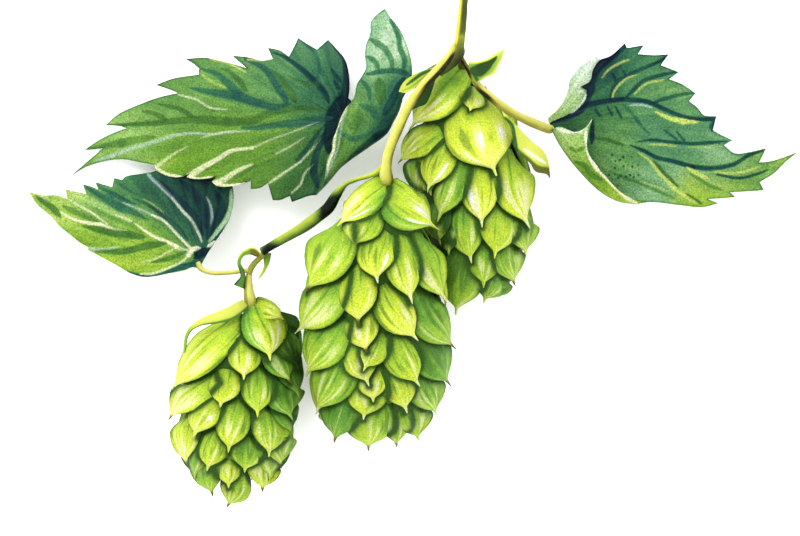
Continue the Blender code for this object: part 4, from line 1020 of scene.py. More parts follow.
# ---------------------------------------------------------------- middle cone
# A ripe hop cone: papery, overlapping bracts round a short axis. Each bract is rooted on
# the core, bulges, and ends in a point that lies over the bracts below it.
def bract_finish(name):
    """Papery bract: painted dark at its root for the shade of the bracts above, bright towards its tip,
    streaked lengthwise.
    """
    finish, tree, shader = plant_finish(name, roughness=0.55)
    fine, patches = grained(tree, fine_scale=3100.0, patch_scale=520.0)
    along, across, tone, seed = (field_of(tree, f) for f in ("along", "across", "tone", "seed"))
    lanes = tree.nodes.new("ShaderNodeCombineXYZ")
    tree.links.new(plus(tree, times(tree, across, 2.2), seed), lanes.inputs["X"])
    tree.links.new(times(tree, along, 0.7), lanes.inputs["Y"])
    tree.links.new(times(tree, seed, 1.7), lanes.inputs["Z"])
    streaks = tree.nodes.new("ShaderNodeTexNoise")
    streaks.inputs["Scale"].default_value = 1.9
    streaks.inputs["Detail"].default_value = 1.0
    tree.links.new(lanes.outputs["Vector"], streaks.inputs["Vector"])
    streak = streaks.outputs["Fac"]
    aside = maths(tree, "ABSOLUTE", across, 0.0)
    middle = less(tree, 1.0, rising(tree, aside, 0.5, 0.85))

    # The green: its tone, darker at the root for painted shade under the bracts above, darker in the
    # streaks, and patchy.
    painted_root_shade = times(tree, less(tree, 0.95, along), 0.42)
    streaked = times(tree, less(tree, 0.5, streak), 0.45)
    driver = plus(tree, times(tree, tone, 0.55), painted_root_shade, times(tree, patches, 0.34), streaked)
    colour = ramp_of(tree, driver, [
        (0.0, tint(242, 250, 112)), (0.16, tint(222, 240, 68)), (0.36, tint(178, 216, 60)),
        (0.56, tint(124, 182, 60)), (0.76, tint(74, 132, 50)), (1.0, tint(30, 68, 36))])

    # Pale streaks down the middle of its outer half, which are painted highlights, and dark ones near its
    # root.
    brightness = less(tree, 0.85, times(tree, tone, 0.6))
    pale = times(tree, rising(tree, streak, 0.53, 0.64), middle, rising(tree, along, 0.3, 0.6), brightness)
    colour = blended(tree, pale, colour, tint(250, 252, 190))
    near_root = less(tree, 1.0, rising(tree, along, 0.55, 0.8))
    dark = times(tree, less(tree, 1.0, rising(tree, streak, 0.34, 0.42)), 0.6, near_root)
    colour = blended(tree, dark, colour, tint(96, 136, 44))

    # Fine white painted highlights (glints) on the bulge of the bracts that are marked for them.
    lines = maths(tree, "SINE", plus(tree, times(tree, across, 11.0), seed), 0.0)
    bulge = times(tree, rising(tree, along, 0.45, 0.52), middle,
                  less(tree, 1.0, rising(tree, along, 0.76, 0.82)))
    glint = times(tree, field_of(tree, "glint"), rising(tree, streak, 0.58, 0.61),
                  rising(tree, lines, 0.1, 0.45), bulge)
    colour = blended(tree, glint, colour, tint(255, 255, 248))

    # A brown or bleached point, a darker margin, and painted shade from the bracts laid over it.
    ending = rising(tree, along, 0.86, 0.94)
    brown = times(tree, ending, field_of(tree, "brown"))
    colour = blended(tree, brown, colour, tint(110, 92, 34))
    bleached = times(tree, ending, field_of(tree, "bleached"))
    colour = blended(tree, bleached, colour, tint(236, 246, 170))
    margin = times(tree, rising(tree, aside, 0.84, 1.0), 0.7)
    colour = blended(tree, margin, colour, tint(70, 120, 36))
    colour = blended(tree, field_of(tree, "shaded"), colour, tint(50, 88, 24))
    ribs = plus(tree, times(tree, streak, 2.0), fine)
    surfaced(tree, shader, colour, fine, depth=1.5, height=ribs, roughness=0.55)
    return finish


BODY_SHARE = 0.93


def cone_sections(cone, y):
    """Middle, level and half width of a cone at places along it, less the bracts' bulge."""
    middle, level, half = (np.interp(y, *zip(*cone[key])) for key in ("middle", "level", "width"))
    return middle, level, half * BODY_SHARE


def on_cone(cone, turn, y, proud, reach):
    """A point round the cone at a turn from its top line, standing proud of its body."""
    middle, level, half = cone_sections(cone, y)
    return np.stack([middle + (reach + proud) * np.sin(turn), y,
                     level + (half * cone["depth"] + proud) * np.cos(turn)], axis=-1)


BRACT_SPREAD = [
    (0.12, 0.85), (0.28, 0.97), (0.42, 1.0), (0.56, 0.97), (0.68, 0.87), (0.79, 0.68),
    (0.87, 0.44), (0.93, 0.22), (0.97, 0.1), (1.0, 0.02)]
BRACT_HALF_THICKNESS = 0.09
TAIL_HALF_WIDTH = 0.36
ROOT_DEPTH = 3.0
CAMBER = 0.13


def bract_plan(root, tip, width, bow, neck, tail, rows, lanes):
    """Plan places over one bract, with how far along and across it each lies."""
    u, v = np.meshgrid(np.linspace(0.0, 1.0, rows), np.linspace(-1.0, 1.0, lanes), indexing="ij")
    root, tip = np.array(root), np.array(tip)
    run = tip - root
    length = np.linalg.norm(run)
    run /= length
    aside = np.array([run[1], -run[0]])
    sway = bow * np.sin(math.pi * u)
    bend = bow * math.pi * np.cos(math.pi * u) / length
    half = 0.5 * width * np.interp(u * (1.0 + tail), *zip((0.0, neck), *BRACT_SPREAD))
    half = np.maximum(half, TAIL_HALF_WIDTH * np.clip((1.0 - u) / (1.3 * tail), 0.0, 1.0))
    place = (root + run * (u * length)[..., None] + aside * sway[..., None]
             + (aside - run * bend[..., None]) * (v * half)[..., None])
    return place, u, v


def bract_rise(u, v, width, lift):
    """How proud of the cone a bract stands: sunk at its root, bulging, lifted at its tip."""
    return (lift * u * u - ROOT_DEPTH * (1.0 - u) ** 1.3
            + CAMBER * width * (1.0 - v * v) * np.sin(math.pi * np.clip(u, 0.0, 1.0) ** 0.8) ** 0.7)


def bract_shell(place):
    """Corners and faces of a thin closed scale over a grid of points, and its edge."""
    rows, lanes = place.shape[:2]
    down = np.gradient(place, axis=0)
    over = np.gradient(place, axis=1)
    normal = np.cross(over, down)
    normal /= np.maximum(np.linalg.norm(normal, axis=-1), 1e-9)[..., None]
    outer = (place + normal * BRACT_HALF_THICKNESS).reshape(-1, 3)
    inner = (place - normal * BRACT_HALF_THICKNESS).reshape(-1, 3)
    count = rows * lanes
    faces = []
    for i in range(rows - 1):
        for j in range(lanes - 1):
            a = i * lanes + j
            b, c, d = a + 1, a + lanes + 1, a + lanes
            faces.append((a, b, c, d))
            faces.append((d + count, c + count, b + count, a + count))
    number = np.arange(count).reshape(rows, lanes)
    ring = [*number[0], *number[1:, -1], *number[-1, -2::-1], *number[-2:0:-1, 0]]
    ring = [int(i) for i in ring]
    for a, b in zip(ring, ring[1:] + ring[:1]):
        faces.append((b, a, a + count, b + count))
    return np.vstack([outer, inner]), faces, ring


# How far from a cone's tip and head it starts to round in, and how long each rounding is;
# the core runs from just below the head to just inside the end.
END_ROUNDING = 11.5
END_DEPTH = 5.2
HEAD_ROUNDING = 8.0
HEAD_DEPTH = 3.2
CORE_HEAD = 5.0
CORE_END = 6.4


def cone_core(cone, rings=40, sides=28, share=0.8):
    """The dark body under the bracts, rounded in at both ends."""
    corners, faces = [], []
    for y in np.linspace(cone["head"] - CORE_HEAD, cone["tip"] + CORE_END, rings):
        middle, level, half = cone_sections(cone, y)
        near_end = np.clip((cone["tip"] + END_ROUNDING - y) / END_DEPTH, 0.0, 1.0)
        near_head = np.clip((y - cone["head"] + HEAD_ROUNDING) / HEAD_DEPTH, 0.0, 1.0)
        half = half * math.sqrt(1.0 - near_end ** 2) * math.sqrt(1.0 - near_head ** 2)
        for j in range(sides):
            turn = 2.0 * math.pi * j / sides
            corners.append((middle + share * half * math.sin(turn), y,
                            level + share * half * cone["depth"] * math.cos(turn)))
    for i in range(rings - 1):
        for j in range(sides):
            k = (j + 1) % sides
            faces.append((i * sides + j, i * sides + k, (i + 1) * sides + k, (i + 1) * sides + j))
    faces.append(tuple(range(sides))[::-1])
    faces.append(tuple(range((rings - 1) * sides, rings * sides)))
    return np.array(corners), faces


# Past this share of its half width a cone falls away too steeply for places in plan, so a
# bract wraps round it at a steady slope, and only so far.
STEEP_SHARE = 0.9
STEEP_SLOPE = 2.29
WRAP_LIMIT = 0.22


def front_bract(cone, root, tip, width, bow, neck, tail, lift, rows=35, lanes=21):
    """A bract laid where it shows from above, wrapped onto the cone's upper side."""
    plan, u, v = bract_plan(root, tip, width, bow, neck, tail, rows, lanes)
    x, y = plan[..., 0], plan[..., 1]
    middle, _, half = cone_sections(cone, y)
    reach = np.maximum(half, cone["blunt"])
    share = (x - middle) / reach
    over = np.abs(share) - STEEP_SHARE
    wrapped = math.asin(STEEP_SHARE) + np.minimum(over, WRAP_LIMIT) * STEEP_SLOPE
    turn = np.where(over > 0.0, np.sign(share) * wrapped,
                    np.arcsin(np.clip(share, -STEEP_SHARE, STEEP_SHARE)))
    proud = bract_rise(u, v, width, lift)
    needed = np.abs(x - middle) / np.maximum(np.abs(np.sin(turn)), 0.5) - reach
    late = step_up(u, 0.12, 0.45) * (over > 0.0)
    proud = np.maximum(proud, proud + (needed - proud) * late)
    return on_cone(cone, turn, y, proud, reach), u, v, np.stack([turn * reach, y], axis=-1)


LEAST_GIRTH = 3.5


def back_bract(cone, turn, top, bottom, width, lift, rows=17, lanes=11):
    """A bract of the far side, placed by its turn round the cone."""
    plan, u, v = bract_plan((0.0, top), (0.0, bottom), width, 0.0, 0.75, 0.08, rows, lanes)
    _, _, girth = cone_sections(cone, 0.45 * top + 0.55 * bottom)
    y = plan[..., 1]
    _, _, half = cone_sections(cone, y)
    turned = turn + plan[..., 0] / max(girth, LEAST_GIRTH)
    place = on_cone(cone, turned, y, bract_rise(u, v, width, lift), half)
    return place, u, v, np.stack([turned * half, y], axis=-1)


ROSETTE_SHARE = 0.84
ROSETTE_DEPTH = 5.7


def end_bract(cone, turn, start, stop, width, rows=17, lanes=11):
    """A bract of the rosette that closes the cone's end, between two slopes of its rounding."""
    u, v = np.meshgrid(np.linspace(0.0, 1.0, rows), np.linspace(-1.0, 1.0, lanes), indexing="ij")
    around = cone["tip"] + END_ROUNDING
    _, _, half = cone_sections(cone, around)
    spread = 0.5 * width * np.interp(u * 1.08, *zip((0.0, 0.8), *BRACT_SPREAD))
    slope = np.radians(start + (stop - start) * u)
    proud = 0.5 * bract_rise(u, v, width, 0.3)
    out = (ROSETTE_SHARE * half + proud) * np.cos(slope)
    girth = max(half * math.cos(math.radians(0.5 * (start + stop))), 3.0)
    turned = turn + v * spread / girth
    y = around - (ROSETTE_DEPTH + proud) * np.sin(slope)
    middle, level, _ = cone_sections(cone, y)
    place = np.stack([middle + out * np.sin(turned), y,
                      level + out * cone["depth"] * np.cos(turned)], axis=-1)
    return place, u, v, np.stack([turned * half, y], axis=-1)


def pushed_clear(place, cone, gap=1.3):
    """Moves what lies inside a neighbouring cone out to just clear of it."""
    middle, level, half = cone_sections(cone, place[..., 1])
    inside = (place[..., 1] > cone["tip"]) & (place[..., 1] < cone["head"])
    across = (place[..., 0] - middle) / (half + gap)
    up = (place[..., 2] - level) / (half * cone["depth"] + gap)
    depth = np.hypot(across, up)
    grow = np.where(inside & (depth < 1.0), 1.0 / np.maximum(depth, 0.2), 1.0)
    moved = place.copy()
    moved[..., 0] = middle + (place[..., 0] - middle) * grow
    moved[..., 2] = level + (place[..., 2] - level) * grow
    return moved


# Tiers near the head reach less far round from the underside, in degrees, and have
# narrower bracts; the last entry holds for every tier below.
FRONT_LIFT = 0.55
BACK_LIFT = 0.3
CLOSING_LIFT = 0.2
TIER_REACH = (42.0, 60.0, 77.0)
TIER_WIDTH = (0.5, 0.75, 1.0)
TIER_LENGTH = 12.5


def listed_bract(cone, seed, tip, root, width, bow, tone, mark="", neck=0.75):
    """A bract that shows from above, as one row of a cone's list gives it."""
    tail = 0.27 if "long" in mark else 0.1
    return *front_bract(cone, root, tip, width, bow, neck, tail, FRONT_LIFT), tone, mark, seed


def filling_bracts(cone):
    """Tiers of bracts round the far side, a ring below them, and the end's rosette."""
    scale, head, end = cone["scale"], cone["head"], cone["tip"]
    bracts = []
    pitch = (head - end - 9.0) / (cone["tiers"] - 1)
    for tier in range(cone["tiers"]):
        reach = TIER_REACH[min(tier, 2)]
        width = scale * TIER_WIDTH[min(tier, 2)]
        top = head - 0.6 - pitch * tier
        bottom = max(top - TIER_LENGTH, end + 6.0)
        for k in range(6):
            turn = 103.0 + 38.5 * (k + 0.5 * (tier % 2))
            if abs(turn - 180.0) <= reach:
                tone = 0.35 + 0.2 * ((k * 7 + tier * 3) % 5) / 4.0
                shape = back_bract(cone, math.radians(turn), top, bottom, width, BACK_LIFT)
                bracts.append((*shape, tone, "", 50.0 + 2.91 * (tier * 6 + k)))
    for k in range(5):
        turn = math.radians(108.0 + 36.0 * k)
        shape = back_bract(cone, turn, end + 13.0, end + 5.4, 0.85 * scale, CLOSING_LIFT)
        bracts.append((*shape, 0.45, "", 240.0 + 3.1 * k))
    # Each ring: how many, first turn, slopes from root to tip, width share, tone and seed.
    outer = (9, 0.0, -12.0, 62.0, 0.75, 0.5, 260.0)
    inner = (6, 20.0, 28.0, 94.0, 0.5, 0.55, 290.0)
    for count, first, start, stop, share, tone, seed in (outer, inner):
        for k in range(count):
            turn = math.radians(first + 360.0 * k / count)
            shape = end_bract(cone, turn, start, stop, share * scale)
            bracts.append((*shape, tone, "lit", seed + 2.3 * k))
    return bracts


# Painted shade: a close one right beside an edge, and a softer one that runs farther.
CREASE_SHADE = 0.97
CREASE_REACH = 0.85
SOFT_SHADE = 0.45
SOFT_REACH = 2.2


def shade_under(edges, unrolled):
    """How much painted shade each place of a bract gets, by how near the edges of earlier bracts lie."""
    if not edges:
        return np.zeros(len(unrolled))
    finder = finder_of(edges)
    gap = np.array([finder.find((s, y, 0.0))[2] for s, y in unrolled])
    return CREASE_SHADE * np.exp(-(gap / CREASE_REACH) ** 2) + SOFT_SHADE * np.exp(-gap / SOFT_REACH)


def bract_looks(u, v, shade, tone, mark, seed):
    """The fields of a bract's outer and inner skin, with the marks that its row names."""
    u, v, shade = (np.concatenate([values.ravel()] * 2) for values in (u, v, shade))
    inner = np.repeat((0.0, 1.0), len(u) // 2)
    band = ("band" in mark) * step_up(v, 0.2, 0.55) * (1.0 - step_up(u, 0.8, 0.95))
    low = ("low" in mark) * step_up(-v, 0.1, 0.6) * (1.0 - step_up(u, 0.5, 0.9))
    patch = ("patch" in mark) * np.exp(-((u - 0.36) / 0.18) ** 2 - (v / 0.5) ** 2)
    dusk = ("dusk" in mark) * between(u, 0.45, 0.75)
    if "lit" in mark:
        shade = 0.3 * shade
    # The inner skin takes painted shade towards its root; dusk paints shade over the outer half.
    shaded = shade * (1.0 - 0.75 * u ** 6) + 0.5 * inner * (1.0 - u) + 0.9 * dusk
    looks = {"along": u, "across": v, "tone": tone + 0.45 * band + 0.4 * low + 0.45 * patch,
             "seed": seed, "brown": "brown" in mark, "bleached": "pale" in mark,
             "glint": "glint" in mark, "shaded": np.clip(shaded, 0.0, 1.0)}
    return {field: np.broadcast_to(np.asarray(values, dtype=float), len(u))
            for field, values in looks.items()}


TABLE_GAP = 0.3
# The core takes full painted shade, so the gaps between bracts show dark.
CORE_LOOKS = {"along": 0.0, "across": 0.0, "tone": 1.0, "seed": 0.0, "brown": 0.0, "bleached": 0.0,
              "glint": 0.0, "shaded": 1.0}


def hop_cone(name, cone, front, finish, slot, node, clear_of=None):
    """One cone: its core, its listed front bracts, and the bracts that fill the rest."""
    core, faces = cone_core(cone)
    corners = [core]
    fields = {field: [np.full(len(core), value)] for field, value in CORE_LOOKS.items()}
    start = len(core)
    edges = []
    listed = [listed_bract(cone, 1.0 + 3.37 * i, *row) for i, row in enumerate(front)]
    for place, u, v, unrolled, tone, mark, seed in listed + filling_bracts(cone):
        if clear_of:
            place = pushed_clear(place, clear_of)
        place[..., 2] = np.maximum(place[..., 2], TABLE_GAP)
        bract_corners, bract_faces, ring = bract_shell(place)
        unrolled = unrolled.reshape(-1, 2)
        looks = bract_looks(u, v, shade_under(edges, unrolled), tone, mark, seed)
        for field, values in looks.items():
            fields[field].append(values)
        faces += [tuple(start + i for i in face) for face in bract_faces]
        corners.append(bract_corners)
        start += len(bract_corners)
        edges += unrolled[ring].tolist()
    fields = {field: np.concatenate(values) for field, values in fields.items()}
    grown(name, np.vstack(corners), faces, fields, finish, slot, node)


# A cone's middle, level and width are (place along it, value) pairs from tip to head. Its
# depth is its thickness for its width, blunt its least half width where bracts wrap round
# it, and scale the width of its far bracts.
MIDDLE_CONE = {
    "head": 12.6, "tip": -40.5, "tiers": 9, "depth": 0.93, "blunt": 8.5, "scale": 11.5,
    "middle": [(-40.5, -8.9), (-30.5, -7.4), (1.5, -7.5), (9.0, -6.2), (12.6, -5.3)],
    "level": [(-40.5, 10.0), (-34.5, 12.2), (-26.5, 14.6), (-16.5, 17.4), (-5.0, 21.0),
              (3.5, 24.4), (12.6, 27.6)],
    "width": [(-40.5, 1.0), (-38.5, 7.2), (-34.5, 10.9), (-30.5, 13.1), (-26.5, 14.4),
              (-22.5, 15.1), (-16.5, 15.3), (-10.5, 14.9), (-2.5, 14.1), (1.5, 13.1),
              (5.5, 10.9), (9.5, 8.8), (11.5, 6.0), (12.6, 2.6)]}
# Each row is a bract's tip, root, width, sideways bow and tone, with its marks and, where
# it isn't the usual one, the share of its width at the root. A higher tone is a darker green;
# the dark tones down a cone's shaded side are painted shade. The marks are glint for painted
# white highlights, brown or pale for its point, long for a drawn-out point, band or low for a darker
# right or left side, patch for a darker spot, dusk for painted shade over its outer half, and lit for
# one that gets little painted shade from its neighbours.
MIDDLE_BRACTS = [
    ((-14.8, 4.2), (-5.4, 12.9), 6.6, 0.5, 0.02, "glint low", 0.5),
    ((6.4, 2.7), (-6.1, 12.0), 9.0, 0.5, 0.05, "glint brown long band", 0.4),
    ((-21.2, -9.1), (-15.4, 6.6), 9.6, -1.2, 0.27, "brown"),
    ((-11.9, -0.1), (-9.2, 9.4), 9.2, 0.0, 0.3),
    ((-7.1, -7.1), (-5.6, 4.4), 8.6, 1.2, 0.08, "glint pale"),
    ((-0.5, -11.2), (-2.6, 3.4), 7.6, 0.3, 0.18, "pale"),
    ((6.3, -11.0), (1.9, 3.8), 7.2, 1.0, 0.34, "pale"),
    ((-23.7, -17.2), (-16.3, -4.3), 8.6, -1.5, 0.36, "pale"),
    ((-10.8, -15.5), (-12.0, -3.0), 8.6, 0.0, 0.02, "brown"),
    ((0.6, -18.6), (-6.4, -7.4), 8.2, 0.3, -0.05, "pale"),
    ((8.5, -20.3), (1.6, -7.0), 7.8, 1.8, 0.62, "brown"),
    ((-21.3, -25.8), (-15.6, -13.6), 8.6, -0.3, 0.42),
    ((-9.2, -21.0), (-11.2, -11.4), 7.6, 0.3, -0.02, "brown"),
    ((-9.9, -24.6), (-6.2, -16.6), 6.2, 0.0, 0.2),
    ((-8.8, -27.6), (-12.0, -16.2), 8.2, 0.4, 0.1, "pale"),
    ((0.9, -27.7), (-4.1, -16.4), 8.0, 0.3, 0.24, "pale"),
    ((7.5, -27.7), (3.4, -14.8), 8.2, 1.7, 0.82, "brown"),
    ((-19.5, -33.3), (-14.4, -18.6), 9.0, -0.9, 0.5, "pale"),
    ((-8.0, -30.8), (-8.5, -23.4), 6.4, 0.0, 0.1),
    ((-9.9, -34.3), (-9.0, -25.2), 8.8, 0.0, 0.25, "pale"),
    ((-1.6, -33.0), (-4.9, -21.8), 8.2, -0.3, 0.18, "pale"),
    ((4.8, -33.7), (3.0, -22.8), 7.6, 1.15, 0.6, "pale"),
    ((-15.4, -39.0), (-13.4, -27.6), 8.2, 0.2, 0.85, "brown"),
    ((-9.0, -40.6), (-8.8, -29.6), 11.5, 0.0, 0.4, "brown"),
    ((-3.7, -39.9), (-2.6, -30.6), 6.4, 0.3, 0.5, "brown"),
    ((1.1, -38.8), (0.9, -28.8), 7.6, 0.8, 0.42)]
middle_finish = bract_finish("middle_cone_bract")
hop_cone("middle_cone", MIDDLE_CONE, MIDDLE_BRACTS, middle_finish, "bract", "cone_middle")

# ---------------------------------------------------------------- left cone
# The youngest of the three hangs lowest, painted bright on its left and painted dark for shade on its
# right; a horn-like bract arches away from its shoulder and comes back to it.
LEFT_CONE = {
    "head": -10.8, "tip": -51.9, "tiers": 8, "depth": 0.95, "blunt": 7.0, "scale": 9.5,
    "middle": [(-51.9, -36.9), (-42.5, -35.9), (-28.5, -35.2), (-20.0, -34.6), (-10.8, -32.7)],
    "level": [(-51.9, 8.0), (-42.5, 11.3), (-34.5, 12.6), (-24.5, 12.7), (-10.8, 15.2)],
    "width": [(-51.9, 0.8), (-49.5, 4.2), (-46.5, 6.9), (-42.5, 9.9), (-38.5, 12.1),
              (-34.5, 12.7), (-28.5, 12.9), (-24.5, 12.4), (-21.5, 11.4), (-17.5, 9.2),
              (-13.5, 6.2), (-10.8, 1.9)]}
LEFT_BRACTS = [
    ((-28.9, -22.6), (-31.6, -10.9), 9.2, -0.7, 0.12, "glint band", 0.55),
    ((-48.9, -29.2), (-34.8, -13.4), 7.2, 0.3, 0.05),
    ((-26.3, -14.4), (-31.3, -11.3), 4.2, -0.4, 0.0, "lit", 0.4),
    # The two dusk bracts below are dark sheets that paint the shade in the gap between this cone and the
    # middle one.
    ((-23.0, -24.6), (-28.0, -13.2), 6.2, -0.6, 0.95, "dusk"),
    ((-22.9, -18.4), (-26.6, -12.4), 3.2, -0.5, 1.0, "dusk"),
    ((-33.9, -26.4), (-33.4, -17.2), 7.6, 0.0, 0.12),
    ((-24.8, -27.2), (-26.0, -16.6), 6.8, 1.2, 0.75, "brown"),
    ((-49.1, -34.7), (-40.2, -25.1), 6.6, 0.8, 0.12, "brown"),
    ((-38.4, -31.9), (-37.5, -23.8), 7.2, 0.0, 0.04),
    ((-31.3, -33.9), (-30.1, -22.6), 7.4, 0.2, 0.35),
    ((-24.7, -34.4), (-24.4, -24.0), 8.0, 1.2, 0.85),
    ((-43.5, -37.9), (-40.4, -28.8), 7.0, 0.3, 0.08, "glint"),
    ((-36.9, -40.9), (-34.5, -29.8), 7.6, 0.4, 0.24),
    ((-29.3, -41.8), (-27.8, -30.6), 7.8, -0.2, 0.4),
    ((-45.2, -43.9), (-45.8, -31.6), 5.6, 0.5, 0.0, "glint brown"),
    ((-40.9, -44.6), (-39.6, -35.4), 7.2, 0.0, 0.2),
    ((-33.9, -44.9), (-32.4, -36.8), 7.4, 0.0, 0.45),
    ((-26.4, -44.2), (-24.6, -33.6), 6.8, 1.3, 0.5, "brown"),
    ((-30.7, -48.8), (-28.8, -40.2), 6.6, 0.0, 0.2, "brown"),
    ((-36.9, -48.0), (-37.1, -40.4), 6.0, 0.0, 0.18),
    ((-39.8, -49.8), (-42.0, -38.6), 7.0, 0.4, 0.6, "brown"),
    ((-37.3, -52.0), (-34.2, -43.0), 7.6, -0.4, 0.35, "brown"),
    # These two dark bracts paint the middle cone's shadow down this cone's right side.
    ((-22.6, -30.6), (-24.6, -16.4), 5.6, 1.0, 0.95),
    ((-24.4, -37.6), (-24.8, -27.4), 5.0, 0.8, 0.8),
    ((-29.2, -46.6), (-27.2, -35.6), 7.0, 0.0, 0.5),
    ((-43.4, -46.6), (-44.2, -35.0), 6.0, 0.0, 0.6)]
left_finish = bract_finish("left_cone_bract")
hop_cone("left_cone", LEFT_CONE, LEFT_BRACTS, left_finish, "bract", "cone_left", MIDDLE_CONE)

# ---------------------------------------------------------------- right cone
# The fattest cone lies under the lateral, painted light on its right and painted shade
# where the middle cone leans on it; one bract spreads from its right shoulder like a wing.
RIGHT_CONE = {
    "head": 36.4, "tip": -13.3, "tiers": 8, "depth": 0.92, "blunt": 7.5, "scale": 11.0,
    "middle": [(-13.3, 10.9), (-4.5, 11.9), (3.5, 12.1), (11.5, 11.4), (19.5, 10.9), (36.4, 9.8)],
    "level": [(-13.3, 8.0), (-4.5, 10.3), (3.5, 11.8), (11.5, 12.3), (28.0, 12.2), (36.4, 13.6)],
    "width": [(-13.3, 1.6), (-10.5, 5.4), (-4.5, 9.4), (3.5, 12.4), (11.5, 13.0),
              (19.5, 12.1), (25.5, 10.4), (29.5, 8.6), (33.5, 5.6), (36.4, 1.8)]}
RIGHT_BRACTS = [
    ((-0.9, 23.5), (10.6, 37.4), 9.6, 0.2, 0.1, "patch", 0.85),
    ((11.2, 27.2), (12.6, 32.2), 6.4, 0.0, 0.1),
    ((16.3, 14.3), (11.6, 31.2), 15.6, 0.5, -0.08, "glint"),
    ((-3.1, 16.8), (5.0, 24.6), 5.8, 0.3, 0.12, "glint brown"),
    ((3.2, 11.0), (5.8, 22.8), 7.6, 0.2, 0.0, "glint"),
    ((5.1, 5.1), (9.0, 19.4), 7.2, 0.0, 0.5),
    ((13.6, 4.0), (13.2, 18.6), 8.4, 0.2, -0.02, "glint pale"),
    ((22.7, 3.8), (20.6, 20.8), 8.6, 1.5, 0.14, "pale", 0.95),
    ((15.9, -2.2), (18.6, 10.6), 8.6, 0.0, 0.24),
    ((11.6, -3.1), (9.6, 9.6), 7.6, 0.2, 0.42, "pale"),
    ((22.5, -1.8), (23.6, 8.8), 6.4, 1.0, 0.5),
    ((20.4, -7.8), (21.0, 3.6), 6.6, 1.6, 0.55, "brown"),
    ((13.8, -8.0), (14.6, 2.4), 7.4, 0.0, 0.5),
    ((3.9, 10.4), (0.1, 18.4), 6.2, 0.0, 0.38),
    ((1.6, 9.6), (0.9, 21.4), 6.0, 0.4, 0.45),
    ((5.4, 0.4), (2.8, 9.6), 6.4, 0.0, 0.6),
    ((8.6, -13.4), (10.4, 0.8), 10.6, 0.1, 0.58),
    ((13.8, -11.0), (18.0, -2.6), 8.6, 0.2, 0.65),
    ((7.3, -1.4), (6.0, 6.6), 6.4, 0.0, 0.7)]
right_finish = bract_finish("right_cone_bract")
hop_cone("right_cone", RIGHT_CONE, RIGHT_BRACTS, right_finish, "bract", "cone_right", MIDDLE_CONE)

# ---------------------------------------------------------------- horn and wing bracts
# Two bracts stand off their cones: a thin horn that leaves the left cone at its stalk and
# arches back to its shoulder, and a broad wing that droops over the right cone's side.
def sprout_finish(name):
    """Small green growths: a yellow-green to near-black ramp, pale and brown places."""
    finish, tree, shader = plant_finish(name, roughness=0.5)
    fine, patches = grained(tree, fine_scale=2400.0, patch_scale=600.0)
    driver = plus(tree, field_of(tree, "shade"), times(tree, patches, 0.16))
    colour = ramp_of(tree, driver, [
        (0.0, tint(246, 246, 120)), (0.2, tint(212, 226, 84)), (0.45, tint(150, 190, 64)),
        (0.65, tint(92, 140, 52)), (0.82, tint(48, 84, 32)), (1.0, tint(14, 26, 14))])
    colour = blended(tree, field_of(tree, "brown"), colour, tint(112, 100, 34))
    colour = blended(tree, field_of(tree, "pale"), colour, tint(254, 254, 236))
    surfaced(tree, shader, colour, fine, depth=0.34, height=fine, roughness=0.5)
    return finish


sprout_skin = sprout_finish("sprout_skin")


def ribbon(name, knots, shade, slot, node, dish=0.0, lanes=9, steps=8):
    """A thin strip through (x, y, z, half width) knots, its lanes counted left to right."""
    path = smooth_path(knots, steps)
    run = np.gradient(path[:, :2], axis=0)
    run /= np.linalg.norm(run, axis=1)[:, None]
    v = np.linspace(-1.0, 1.0, lanes)
    half = path[:, 3:4]
    x = path[:, 0:1] + run[:, 1:2] * v * half
    y = path[:, 1:2] - run[:, 0:1] * v * half
    z = path[:, 2:3] + dish * half * (1.0 - v * v)
    corners, faces, _ = bract_shell(np.stack([x, y, z], axis=-1))
    u = np.repeat(np.linspace(0.0, 1.0, len(path)), lanes)
    v = np.tile(v, len(path))
    fields = shade(np.concatenate([u, u]), np.concatenate([v, v]))
    grown(name, corners, faces, fields, sprout_skin, slot, node)


def horn_shade(u, v):
    """Bright along its top, darker under its arch and towards its end."""
    lower = step_up(-v, 0.45, 0.8)
    end = step_up(u, 0.55, 0.75)
    return {"shade": 0.12 + 0.55 * lower + 0.3 * end, "brown": 0.0 * u, "pale": 0.0 * u}


ribbon("horn_bract", [
    (-33.6, -11.2, 17.6, 0.9), (-34.6, -11.9, 18.9, 1.15), (-36.5, -13.1, 19.9, 1.3),
    (-39.1, -14.0, 20.2, 1.1), (-41.1, -14.5, 20.1, 0.85), (-42.8, -15.1, 19.7, 0.6),
    (-44.4, -16.2, 18.9, 0.42), (-45.3, -17.7, 18.1, 0.32), (-45.6, -19.4, 17.6, 0.28),
    (-45.8, -21.0, 17.3, 0.2)], horn_shade, "bract", "cone_left_horn_bract", dish=0.35)


SPROUT_HALF_THICKNESS = 0.12
SPROUT_STEP = 0.22
WASH_REACH = 1.6


def sprout(name, outline, height, washes, marks, slot, node):
    """A flat sprout cut to an outline, with washes and marks like a leaf's."""
    surface, triangles, fields = plain_sheet(outline, height, (washes, marks, WASH_REACH), SPROUT_STEP)
    del fields["under"], fields["cool"], fields["lemon"]
    corners, faces = shell_of(surface, triangles, SPROUT_HALF_THICKNESS)
    fields = {field: np.concatenate([values, values]) for field, values in fields.items()}
    grown(name, corners, faces, fields, sprout_skin, slot, node)


def wing_height(flat):
    """The wing's height: it falls away from the cone's shoulder in a slow wave."""
    return 21.4 - 0.8 * (flat[:, 0] - 19.0) + 0.25 * np.sin(1.1 * flat[:, 0])


